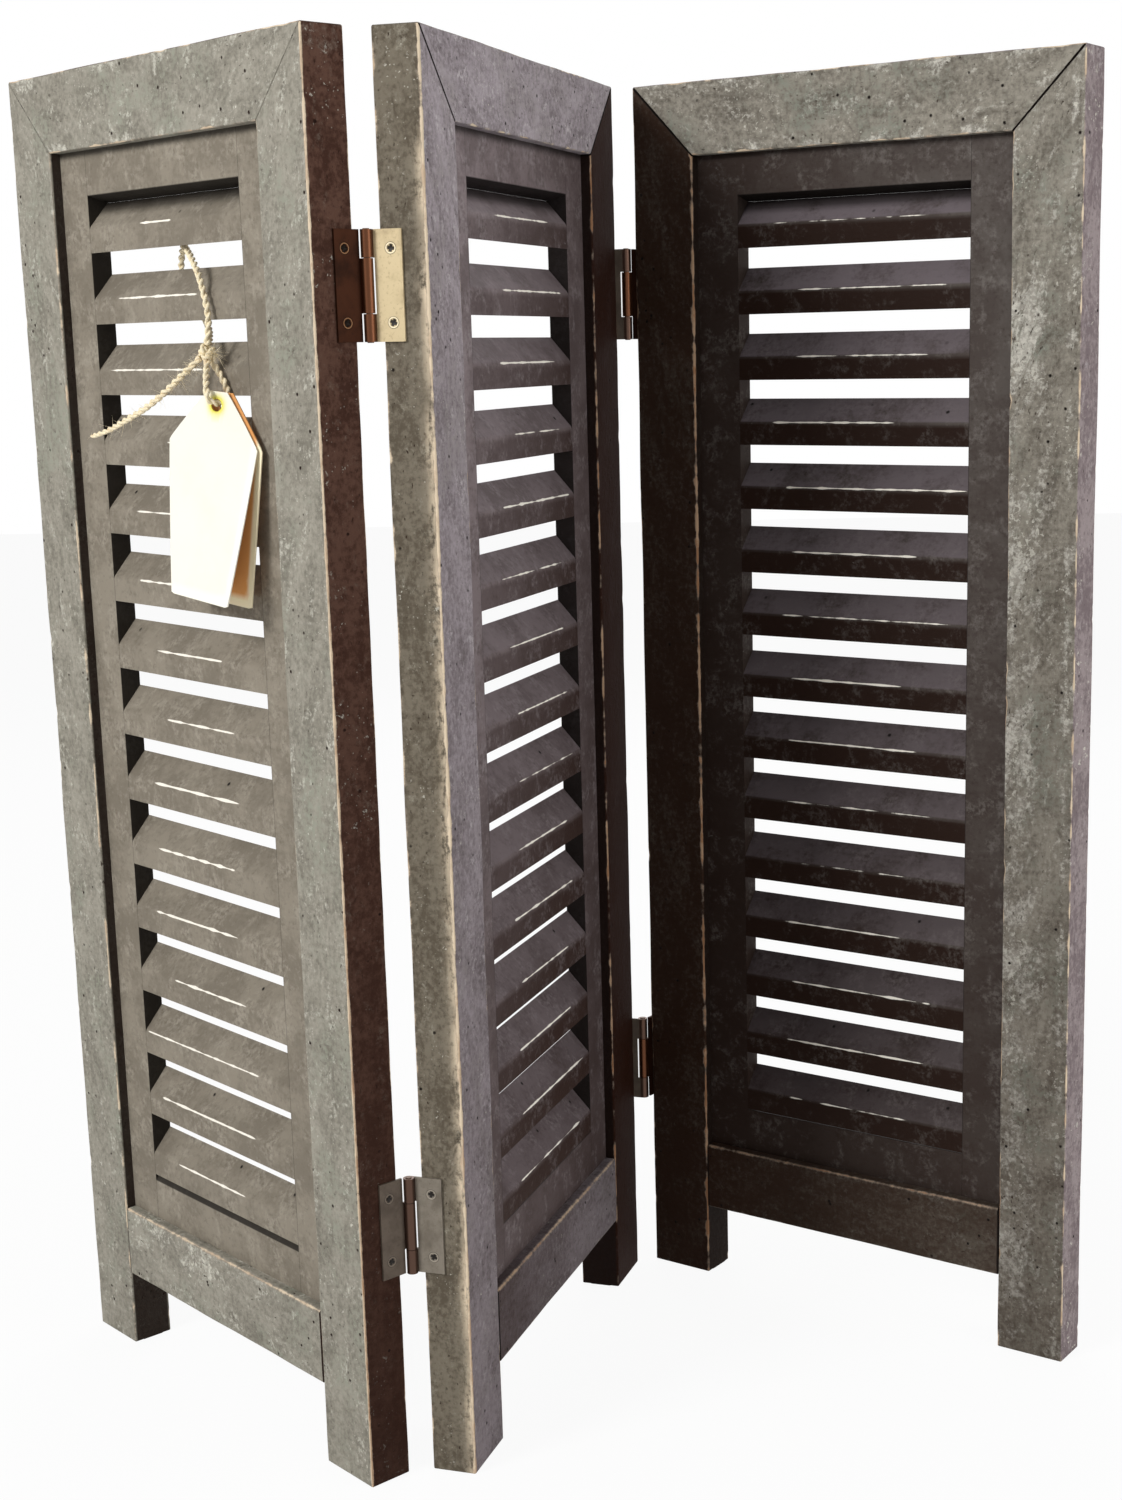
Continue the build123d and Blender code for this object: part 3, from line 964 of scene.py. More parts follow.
@dataclass
class Batten:
    """One batten of a panel's frame, worn along its arrises."""

    place: PanelPlace
    lay: Lay
    seed: int
    front_outer: float = 0.5
    front_inner: float = 0.5
    back_outer: float = 0.4
    back_inner: float = 0.3
    # How much painted shade, partly dark paint, the front has at the foot and at the top, and the
    # edge face likewise.
    dark_start: float = 0.0
    dark_end: float = 0.0
    edge_dark: tuple[float, float] = (0.0, 0.0)
    edge_stain_and_shade: float = 1.0
    line_width: float = 0.6 * MM
    steady: float = 0.0
    band: float = 0.0
    joint: float = 1.0
    joint_width: float = 0.9 * MM
    chalk: float = 0.0
    ridge: float = 0.0
    flecks: float = 0.6
    # Painted shade on the inner face beside the leaf.
    inner_dark: float = 0.7
    arris: float = 0.9 * MM
    low_arris: float = 2.2 * MM
    worn_flat: float = 0.35 * MM
    chip_reach: float = 1.2 * MM
    chip_depth: float = 0.7 * MM
    wave_depth: float = 0.12 * MM
    band_reach: float = 3.4 * MM
    band_below_top: tuple[float, float] = (38 * MM, 62 * MM)
    chalk_below_top: tuple[float, float] = (55 * MM, 100 * MM)
    ridge_in: float = 4.6 * MM
    ridge_width: float = 1.3 * MM
    fleck_reach: float = 4.5 * MM
    groove_play: float = 0.02 * MM
    row_step: float = 2.2 * MM

    @property
    def node(self) -> str:
        """Name of the CAD node that the batten stands for."""
        return f"{self.place.side.value}_{self.lay.value}"

    @property
    def face(self) -> float:
        """Width of the batten's face.

        Returns:
            The width, by how the batten lies.
        """
        return {
            Lay.LEFT_STILE: SIZE.stile,
            Lay.RIGHT_STILE: SIZE.stile,
            Lay.TOP_RAIL: SIZE.top_rail,
            Lay.BOTTOM_RAIL: SIZE.bottom_rail,
        }[self.lay]

    @property
    def upright(self) -> bool:
        """Whether the batten is a stile."""
        return self.lay in (Lay.LEFT_STILE, Lay.RIGHT_STILE)

    def ends(self, across: Array) -> tuple[Array, Array]:
        """Find where the batten starts and ends, which cuts its mitres.

        Args:
            across: distances across the batten, from its outer edge.

        Returns:
            Where it starts and where it ends, for each distance.
        """
        if self.lay is Lay.TOP_RAIL:
            return across, SIZE.width - across
        if self.lay is Lay.BOTTOM_RAIL:
            return across * 0 + SIZE.stile, across * 0 + SIZE.width - SIZE.stile
        return across * 0, SIZE.height - across * SIZE.top_rail / SIZE.stile

    def to_panel(self, along: Array, across: Array, depth: Array) -> Array:
        """Lay the batten's own coordinates into its panel.

        Args:
            along: distances along the batten.
            across: distances from its outer edge.
            depth: distances from its front face.

        Returns:
            Points in the shared frame.
        """
        if self.lay is Lay.LEFT_STILE:
            return self.place.row(across, depth, along)
        if self.lay is Lay.RIGHT_STILE:
            return self.place.row(SIZE.width - across, depth, along)
        if self.lay is Lay.TOP_RAIL:
            return self.place.row(along, depth, SIZE.height - across)
        return self.place.row(along, depth, SIZE.leg + across)

    def outline(self) -> tuple[Array, Array]:
        """Make the batten's section: an eased rectangle with the leaf's groove.

        Returns:
            Points across and into the batten, and which of them are in the groove.
        """
        face, deep = self.face, SIZE.thickness
        front, back = SIZE.leaf_front, SIZE.leaf_front + SIZE.leaf_thickness
        floor = face - SIZE.groove
        corners = np.array([
            (0, 0), (face, 0), (face, front), (floor, front),
            (floor, back), (face, back), (face, deep), (0, deep),
        ])
        inner = self.low_arris if self.lay is Lay.BOTTOM_RAIL else self.arris
        radii = [self.arris, inner, 0, 0, 0, 0, inner, self.arris]
        outline = rounded_outline(corners, radii, [13, 4, 1, 1, 1, 4, 13, 9])
        in_groove = outline[:, 0] < face + 1e-6
        in_groove &= (outline[:, 1] > front - 1e-6) & (outline[:, 1] < back + 1e-6)
        return outline, in_groove & (outline[:, 0] > floor - 1e-6)

    def rubbed(self, along: Array, outline: Array) -> tuple[Array, Array]:
        """Work out how the four arrises are rubbed.

        How bare the wood is falls off from each arris by a bell curve. Its
        height follows an uneven wave, and the same wave, squared where it is
        high, takes wood away.

        Args:
            along: distances of the rows.
            outline: the section's points.

        Returns:
            How bare each point is, and how much wood is gone there.
        """
        face, deep = self.face, SIZE.thickness
        arrises = {
            (0.0, 0.0): self.front_outer,
            (face, 0.0): self.front_inner,
            (0.0, deep): self.back_outer,
            (face, deep): self.back_inner,
        }
        bare = np.zeros((len(along), len(outline)))
        taken = np.zeros_like(bare)
        for index, (corner, strength) in enumerate(arrises.items()):
            away = np.linalg.norm(outline - np.array(corner), axis=1)
            away = np.clip(away - self.worn_flat, 0, None)
            uneven = ripple(along, 60 * MM, self.seed * 10 + index)
            quick = ripple(along, 17 * MM, self.seed * 10 + index + 5, 11)
            loose = 1 - self.steady
            amount = np.clip(strength + loose * (0.36 * uneven + 0.18 * quick), 0, 1.0)
            width = self.line_width * np.clip(1 + loose * (0.5 * quick - 0.3 * uneven), 0.4, 1.9)
            near = np.exp(-((away[None] / width[:, None]) ** 2))
            bare = np.maximum(bare, amount[:, None] * near)
            chips = loose * np.clip(0.35 * uneven + 0.5 * quick - 0.35, 0, None) ** 2
            hollow = np.exp(-((away / self.chip_reach) ** 2)) * self.chip_depth
            taken += np.minimum(chips, 1)[:, None] * hollow
        return bare, taken

    def soft_band(self, along: Array, outline: Array, length: float) -> Array:
        """Work out the pale rubbed band of the outer edge face.

        It falls off from the front arris by a bell curve and starts below the
        top, with an uneven wave along it.

        Args:
            along: distances of the rows.
            outline: the section's points.
            length: the batten's length.

        Returns:
            How strong the band is at each point.
        """
        depth = outline[:, 1]
        outside = outline[:, 0] < ON_FACE
        near = np.exp(-((depth / self.band_reach) ** 2)) * outside
        below_top = smooth(length - along, *self.band_below_top)
        uneven = 0.8 + 0.25 * ripple(along, 45 * MM, self.seed + 31)
        return np.clip(self.band * (below_top * uneven)[:, None] * near[None], 0, 1)

    def chalked(self, along: Array, outline: Array, length: float) -> Array:
        """Work out how much more chalk lies on each point.

        It lies on the inner half of the front face, below the mitre, in a thin
        ridge beside the outer arris, in flecks along both arrises, and as runs
        at the top of the edge face.

        Args:
            along: distances of the rows.
            outline: the section's points.
            length: the batten's length.

        Returns:
            The chalk of each point, where 0 is the paint's own share.
        """
        across, depth = outline.T
        on_front = depth < ON_FACE
        inner_half = smooth(across, 0.35 * self.face, 0.70 * self.face) * on_front
        below_mitre = smooth(length - along, *self.chalk_below_top)
        swell = 0.7 + 0.5 * ripple(along, 80 * MM, self.seed + 13)
        chalk = self.chalk * (below_mitre * swell)[:, None] * inner_half[None]
        ridge = np.exp(-(((across - self.ridge_in) / self.ridge_width) ** 2)) * on_front
        ridge = self.ridge * (0.8 + 0.4 * ripple(along, 25 * MM, self.seed + 14))[:, None] * ridge
        runs = smooth(along - length, -26 * MM, -4 * MM)[:, None] * (across < ON_FACE)[None]
        to_arris = np.minimum(across, self.face - across) / self.fleck_reach
        gathered = np.clip(0.2 + ripple(along, 45 * MM, self.seed + 15), 0, 1)
        flecks = gathered[:, None] * (np.exp(-(to_arris**2)) * on_front)[None]
        return np.clip(chalk + ridge + 0.5 * runs + self.flecks * flecks, 0, 1.5)

    def build(self) -> bpy.types.Object:
        """Carry the section along the batten.

        A row at a share t of the length lies at start + t (end - start), where
        start and end depend on the distance across, which cuts the mitres. Near
        the ends each row is drawn in by the rest of a quarter circle. The
        groove starts above the leg. Each point also carries its place along,
        across and into its own batten, which the grain follows.

        Returns:
            The finished mesh.
        """
        outline, in_groove = self.outline()
        normal = outward(outline)
        length = SIZE.height if self.upright else SIZE.width
        if self.lay is Lay.BOTTOM_RAIL:
            length -= 2 * SIZE.stile
        ease = self.arris * 0.7
        steps = ease * np.array([0, 0.12, 0.45, 1.0])
        rows = int(length / self.row_step)
        middle = np.linspace(2 * ease, length - 2 * ease, rows)
        leg_top = SIZE.leg + np.array([-self.groove_play, 0]) if self.upright else []
        along = np.sort(np.concatenate([steps, middle, (length - steps)[::-1], leg_top]))
        to_end = np.minimum(along, length - along)
        short = np.clip(ease - to_end, 0, None)
        drawn_in = ease - np.sqrt(np.clip(ease**2 - short**2, 0, None))

        face, deep = self.face, SIZE.thickness
        bare, taken = self.rubbed(along, outline)
        section = outline[None] - normal[None] * (drawn_in[:, None] + taken)[..., None]
        waves = self.wave_depth * ripple(along, 90 * MM, self.seed + 77)
        fade = smooth(to_end, 0, 20 * MM) * waves
        section = section + normal[None] * fade[:, None, None] * (~in_groove)[None, :, None]
        across, depth = section[..., 0], section[..., 1]
        if self.upright:
            closed = (along < SIZE.leg - self.groove_play / 2)[:, None] & in_groove[None]
            across = np.where(closed & (across < face), face - self.groove_play, across)
        start, end = self.ends(across)
        points = self.to_panel(start + along[:, None] / length * (end - start), across, depth)

        gap = length - along if self.upright else to_end
        seam = np.clip(1.3 - gap / self.joint_width, 0, 1) * self.joint
        outside = outline[:, 0] < ON_FACE
        # The stiles' inner faces beside the leaf get painted shade.
        inside = (outline[:, 0] > face - ON_FACE) | in_groove
        past_arris = self.arris + 0.3 * MM
        inside &= (outline[:, 1] > past_arris) & (outline[:, 1] < deep - past_arris)
        inside &= self.upright
        shape = bare.shape
        # Painted shade, partly dark paint, that runs from the foot to the top.
        tone = np.interp(along, [0, length], [self.dark_start, self.dark_end])
        edge_tone = np.interp(along, [0, length], self.edge_dark)
        lie = np.stack(np.broadcast_arrays(
            across, depth, along[:, None] + self.seed * 0.37
        ), axis=-1)
        values = {
            "bare": bare,
            "band": self.soft_band(along, outline, length),
            "lift": self.chalked(along, outline, length),
            "seam": seam[:, None] * ~outside[None],
            "edge_face": np.broadcast_to((outside * self.edge_stain_and_shade)[None], shape),
            "tone": np.where(outside[None], edge_tone[:, None], tone[:, None]),
            "recess": np.broadcast_to((inside * self.inner_dark)[None], shape),
            "lie": lie,
        }
        faces = tube_faces(1, *shape)
        return put_mesh(f"{self.node}_worn", points, faces, values)


@dataclass
class Leaf:
    """The louvre leaf of one panel: two stiles, two rails and the slats."""

    place: PanelPlace
    seed: int
    line_from: float = 0.2
    line_to: float = 0.85
    line_strength: float = 0.8
    line_spread: float = 0.08
    # Painted shade, partly darker paint, at the leaf's four corners, on the left stile's wall and
    # on the slats' front bands.
    dark: tuple[float, float, float, float] = (0.0, 0.0, 0.0, 0.0)
    wall_dark: float = 0.9
    band_shade: float = 0.0
    # Painted light on the slats' upward faces, and its share at the lowest slat.
    top_light_share: float = 0.0
    lowest_slat_light: float = 1.0
    low_slot: bool = False
    row_step: float = 2.5 * MM

    def tone(self, across: Array, up: Array) -> Array:
        """Blend the four corners' darkness over the leaf.

        Args:
            across: distances from the panel's left edge.
            up: heights.

        Returns:
            How much painted shade, partly darker paint, each point has, from the
            corners' values, which are listed as low left, high left, low right and
            high right.
        """
        right = np.clip((across - SIZE.stile) / (SIZE.width - 2 * SIZE.stile), 0, 1)
        high = np.clip((up - SIZE.rail_top) / (SIZE.inner_top - SIZE.rail_top), 0, 1)
        low_left, high_left, low_right, high_right = self.dark
        left_tone = low_left + (high_left - low_left) * high
        right_tone = low_right + (high_right - low_right) * high
        return left_tone + (right_tone - left_tone) * right

    def stile(self, is_left: bool) -> bpy.types.Object:
        """Make a leaf stile: a flat bar that reaches into the frame's groove.

        The bar is its rectangle carried straight up.

        Args:
            is_left: whether it is the stile at the panel's left.

        Returns:
            The mesh.
        """
        start = SIZE.stile - SIZE.groove if is_left else SIZE.width - SIZE.slot_left
        wide = SIZE.leaf_stile + SIZE.groove
        front, deep = SIZE.leaf_front, SIZE.leaf_thickness
        corners = np.array([(0, 0), (wide, 0), (wide, deep), (0, deep)])
        outline = rounded_outline(corners, [0.0] * 4, [12, 5, 12, 5])
        bottom = SIZE.rail_top - SIZE.groove
        top = SIZE.inner_top + SIZE.groove
        along = np.linspace(bottom, top, int((top - bottom) / self.row_step))
        shape = (len(along), len(outline))
        across = np.broadcast_to(start + outline[:, 0], shape)
        up = np.broadcast_to(along[:, None], shape)
        points = self.place.row(across, np.broadcast_to(front + outline[:, 1], shape), up)
        # The stile's wall beside the slots gets painted shade.
        wall = wide if is_left else 0.0
        recess = (np.abs(outline[:, 0] - wall) < 0.01 * MM) * (self.wall_dark if is_left else 0.9)
        values = {
            "bare": np.zeros(shape),
            "tone": self.tone(across, up),
            "recess": np.broadcast_to(recess[None], shape),
        }
        name = f"{self.place.side.value}_leaf_stile_{'a' if is_left else 'b'}_painted"
        return put_mesh(name, points, tube_faces(1, *shape), values)

    def rail(self, is_top: bool) -> bpy.types.Object:
        """Make a leaf rail: its section carried across, sloped to meet a slat.

        Args:
            is_top: whether it is the upper rail.

        Returns:
            The mesh.
        """
        drop = SIZE.end_slot - SIZE.slat_seat
        front, back = SIZE.leaf_front, SIZE.leaf_front + SIZE.leaf_thickness
        if is_top:
            edge = SIZE.inner_top - SIZE.leaf_rail
            end = SIZE.inner_top + SIZE.groove
            corners = [(front, edge), (back, edge - drop), (back, end), (front, end)]
        else:
            edge = SIZE.rail_top + SIZE.leaf_rail
            end = SIZE.rail_top - SIZE.groove
            rise = (0.0, SIZE.slat_rise + drop) if self.low_slot else (drop, 0.0)
            corners = [(front, edge + rise[0]), (back, edge + rise[1]), (back, end), (front, end)]
        outline = rounded_outline(np.array(corners), [0.0] * 4, [4, 10, 4, 10])
        # The sloped face by the end slot gets painted shade.
        sloped = np.arange(len(outline)) < 6
        left, right = SIZE.slot_left, SIZE.width - SIZE.slot_left
        along = np.linspace(left, right, int((right - left) / self.row_step))
        shape = (len(along), len(outline))
        across = np.broadcast_to(along[:, None], shape)
        up = np.broadcast_to(outline[:, 1], shape)
        points = self.place.row(across, np.broadcast_to(outline[:, 0], shape), up)
        values = {
            "bare": np.zeros(shape),
            "tone": self.tone(across, up),
            "recess": np.broadcast_to(sloped[None] * 0.9, shape),
        }
        name = f"{self.place.side.value}_leaf_{'top' if is_top else 'bottom'}_rail_painted"
        return put_mesh(name, points, tube_faces(1, *shape), values)

    def slats(self) -> bpy.types.Object:
        """Make all the slats of the leaf.

        The section is a slanting bar with eased crests, carried across between
        the stiles. The front crest sinks and swells by a tenth of a millimetre,
        and the number that says how rubbed it is falls off within a millimetre
        of the crest and fades at two places that differ from slat to slat. The
        first slat has painted shadow towards its back, under the rail. The front
        bands get painted shade and the faces that slope up get painted light.

        Returns:
            The mesh.
        """
        deep, rise, face = SIZE.leaf_thickness, SIZE.slat_rise, SIZE.slat_face
        corners = np.array([(0, 0), (deep, rise), (deep, rise - face), (0, -face)])
        radii = [1.4 * MM, 0.0, 1.4 * MM, 0.3 * MM]
        outline = rounded_outline(corners, radii, [9, 6, 9, 7], 9)
        left, right = SIZE.slot_left, SIZE.width - SIZE.slot_left
        along = np.linspace(left, right, int((right - left) / (0.8 * self.row_step)))
        crests = SIZE.crests()
        shape = (len(crests), len(along), len(outline))
        to_end = np.minimum(along - left, right - along)
        crest = outline[np.argmin(np.linalg.norm(outline, axis=1))]
        away = np.linalg.norm(outline - crest, axis=1)
        draw = np.random.default_rng(self.seed)
        share = (along - left) / (right - left)
        bare = np.zeros(shape)
        sag = np.zeros(shape[:2])
        for index in range(len(crests)):
            first = self.line_from + self.line_spread * draw.normal()
            last = self.line_to + self.line_spread * draw.normal()
            strength = self.line_strength * (1 + 0.18 * draw.normal())
            broken = 0.13 * ripple(along, 22 * MM, self.seed * 100 + index)
            line = smooth(share, first - 0.02, first + 0.04)
            line *= 1 - smooth(share, last - 0.05, last + 0.03)
            amount = np.clip(strength + broken, 0, 1.2) * line
            swell = 1 + 0.4 * ripple(along, 14 * MM, self.seed * 100 + index + 25)
            width = 0.6 * MM * np.clip(swell, 0.45, 1.9)
            bare[index] = amount[:, None] * np.exp(-((away[None] / width[:, None]) ** 2))
            sag[index] = 0.12 * MM * ripple(along, 70 * MM, self.seed * 100 + index + 50)
        near_crest = np.exp(-((away / (2.5 * MM)) ** 2))
        sink = sag[:, :, None] * smooth(to_end, 0, 10 * MM)[None, :, None] * near_crest
        across = np.broadcast_to(along[None, :, None], shape)
        depth = SIZE.leaf_front + outline[:, 0][None, None] + np.abs(sink) * 0.7
        up = crests[:, None, None] + outline[:, 1][None, None] - np.abs(sink) * 0.7
        points = self.place.row(across, depth, up)
        # The front band below the crest gets painted shade, added to the tone.
        band = smooth(-outline[:, 1], 0.3 * MM, 3 * MM) * (outline[:, 0] < 0.3 * MM)
        tone = np.clip(self.tone(across, up) + self.band_shade * band, 0, 1)
        # Painted shadow on the back of the first slat, under the rail.
        recess = np.zeros(shape)
        recess[0] = 0.85 * smooth(outline[:, 0], 0.35 * deep, 0.8 * deep)
        # Painted light on the faces that slope up, less on the lower slats.
        upward = smooth(outward(outline)[:, 1], 0.3, 0.6) * self.top_light_share
        height = np.linspace(1, self.lowest_slat_light, len(crests))
        top_light = np.broadcast_to(upward[None, None] * height[:, None, None], shape)
        values = {"bare": bare, "tone": tone, "recess": recess, "top_light": top_light}
        name = f"{self.place.side.value}_slats_painted"
        return put_mesh(name, points, tube_faces(*shape), values)

    def build(self, paint: bpy.types.Material) -> None:
        """Make, paint and fit every piece of the leaf.

        Args:
            paint: the leaf's finish.
        """
        side = self.place.side.value
        pieces = {
            f"{side}_leaf_stile_a": self.stile(True),
            f"{side}_leaf_stile_b": self.stile(False),
            f"{side}_leaf_top_rail": self.rail(True),
            f"{side}_leaf_bottom_rail": self.rail(False),
            f"{side}_slats": self.slats(),
        }
        for node, piece in pieces.items():
            piece.data.materials.append(paint)
            fit(piece, self.place.side.body, f"{side}_leaf_paint", node)


@dataclass
class Screw:
    """A countersunk screw with a cross recess."""

    radius: float = 2.8 * MM
    shank: float = 1.65 * MM
    depth: float = 1.15 * MM
    arm: float = 1.85 * MM
    arm_width: float = 0.72 * MM
    recess: float = 0.75 * MM
    head_rings: tuple[float, ...] = (
        0.02, 0.10, 0.18, 0.27, 0.38, 0.48, 0.56, 0.64, 0.72, 0.8, 0.88, 0.94
    )

    def points(self, centre: Vector, normal: Vector, turn: float) -> tuple[Array, Array, Array]:
        """Work out one screw on a polar grid.

        Rings run from the middle of the head to its rim and down its cone to
        the closed tip. The head sinks by the recess where a point lies on one
        of the two arms, eased over a quarter of the arm's width.

        Args:
            centre: middle of the head, in the plate's face.
            normal: the way that the head faces.
            turn: how far the cross is turned.

        Returns:
            Rings of points, how much of each lies in the cross or the shadow
            round the head, which both get painted shade, and how much at the rim,
            which gets a painted highlight.
        """
        angle = np.linspace(0, 2 * math.pi, 48, endpoint=False)
        head = self.radius * np.array(self.head_rings)
        radius = np.concatenate([head, [self.radius, self.shank, self.shank * 0.1]])
        sunk = np.concatenate([head * 0, [0.1 * MM, self.depth, self.depth]])
        x = radius[:, None] * np.cos(angle)
        y = radius[:, None] * np.sin(angle)
        reach = np.maximum(np.abs(x), np.abs(y))
        width = np.minimum(np.abs(x), np.abs(y))
        arm = 1 - smooth(width, self.arm_width * 0.8, self.arm_width * 1.3)
        arm = arm * (1 - smooth(reach, self.arm * 0.85, self.arm))
        arm[len(head):] = 0
        height = -sunk[:, None] - arm * self.recess * (1 - 0.4 * reach / self.arm)
        side = normal.orthogonal().normalized()
        side.rotate(Matrix.Rotation(turn, 3, normal))
        other = normal.cross(side)
        # A bright ring on the head, for a painted highlight, and a dark ring at its edge, for a
        # painted shadow.
        rim = np.clip(1 - np.abs(radius / self.radius - 0.80) / 0.14, 0, 1)
        shadow = np.clip(1 - np.abs(radius / self.radius - 1.0) / 0.11, 0, 1)
        rings = (
            np.array(centre)
            + x[..., None] * np.array(side)
            + y[..., None] * np.array(other)
            + height[..., None] * np.array(normal)
        )
        # The cross and the ring at the head's edge get painted shade.
        recess = np.maximum(arm, 0.9 * shadow[:, None])
        return rings, recess, np.broadcast_to(rim[:, None], arm.shape)


@dataclass
class Hinge:
    """The leaves, pins and screws of the two hinges at one fold."""

    fold: Side
    upper: tuple[DullBrass, DullBrass]
    lower: tuple[DullBrass, DullBrass]
    pin: DullBrass
    leaf_on_wood: float = 11 * MM
    plate: float = 1.2 * MM
    screw_spacing: float = 33 * MM

    def screws(self, level: str, kind: str, finish: bpy.types.Material) -> bpy.types.Object:
        """Make the two screws of one leaf and set them in its face.

        Args:
            level: upper or lower.
            kind: moving or fixed.
            finish: the leaf's own finish.

        Returns:
            Both screws as one mesh.
        """
        node = f"{self.fold.value}_hinge_{level}_{kind}_leaf"
        place = PLACES[self.fold if kind == "moving" else Side.MIDDLE]
        at_right_edge = (self.fold is Side.LEFT) == (kind == "moving")
        outward_face = place.across if at_right_edge else -place.across
        edge = SIZE.width if at_right_edge else 0.0
        on_back = self.fold is Side.LEFT
        depth = SIZE.thickness - self.leaf_on_wood / 2 if on_back else self.leaf_on_wood / 2
        low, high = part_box(node)
        middle = (low.z + high.z) / 2
        face = edge + (self.plate if at_right_edge else -self.plate)
        screws = []
        draw = np.random.default_rng(len(node) + (7 if kind == "moving" else 3))
        for sign in (-1, 1):
            centre = place.point(face, -depth, middle + sign * self.screw_spacing / 2)
            screws.append(Screw().points(centre, outward_face, draw.uniform(0, 1.5)))
        points, recess, rim = (np.stack(part) for part in zip(*screws))
        # The screws carry painted shade in their recesses and a painted highlight at their rims.
        values = {"recess": recess, "rim": rim}
        faces = tube_faces(*points.shape[:3])
        piece = put_mesh(f"{node}_screws", points, faces, values, sharp=50)
        piece.data.materials.append(finish)
        return fit(piece, place.side.body, "hinge_brass")

    def build(self) -> None:
        """Dress the CAD leaves and pins and add the screws."""
        for level, finishes in (("upper", self.upper), ("lower", self.lower)):
            pin = f"{self.fold.value}_hinge_{level}_pin"
            low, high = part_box(pin)
            line = ((low.x + high.x) / 2, (low.y + high.y) / 2)
            for kind, finish in zip(("moving", "fixed"), finishes):
                material = finish.make(line)
                dress(frame["nodes"][f"{self.fold.value}_hinge_{level}_{kind}_leaf"], material)
                self.screws(level, kind, material)
            dress(frame["nodes"][pin], self.pin.make())


def dress(node: bpy.types.Object, finish: bpy.types.Material) -> None:
    """Give a CAD node one finish and report it.

    Args:
        node: the CAD node.
        finish: its material.
    """
    node.data.materials.clear()
    node.data.materials.append(finish)
    log.info("%s: CAD mesh with %s", node.name, finish.name)


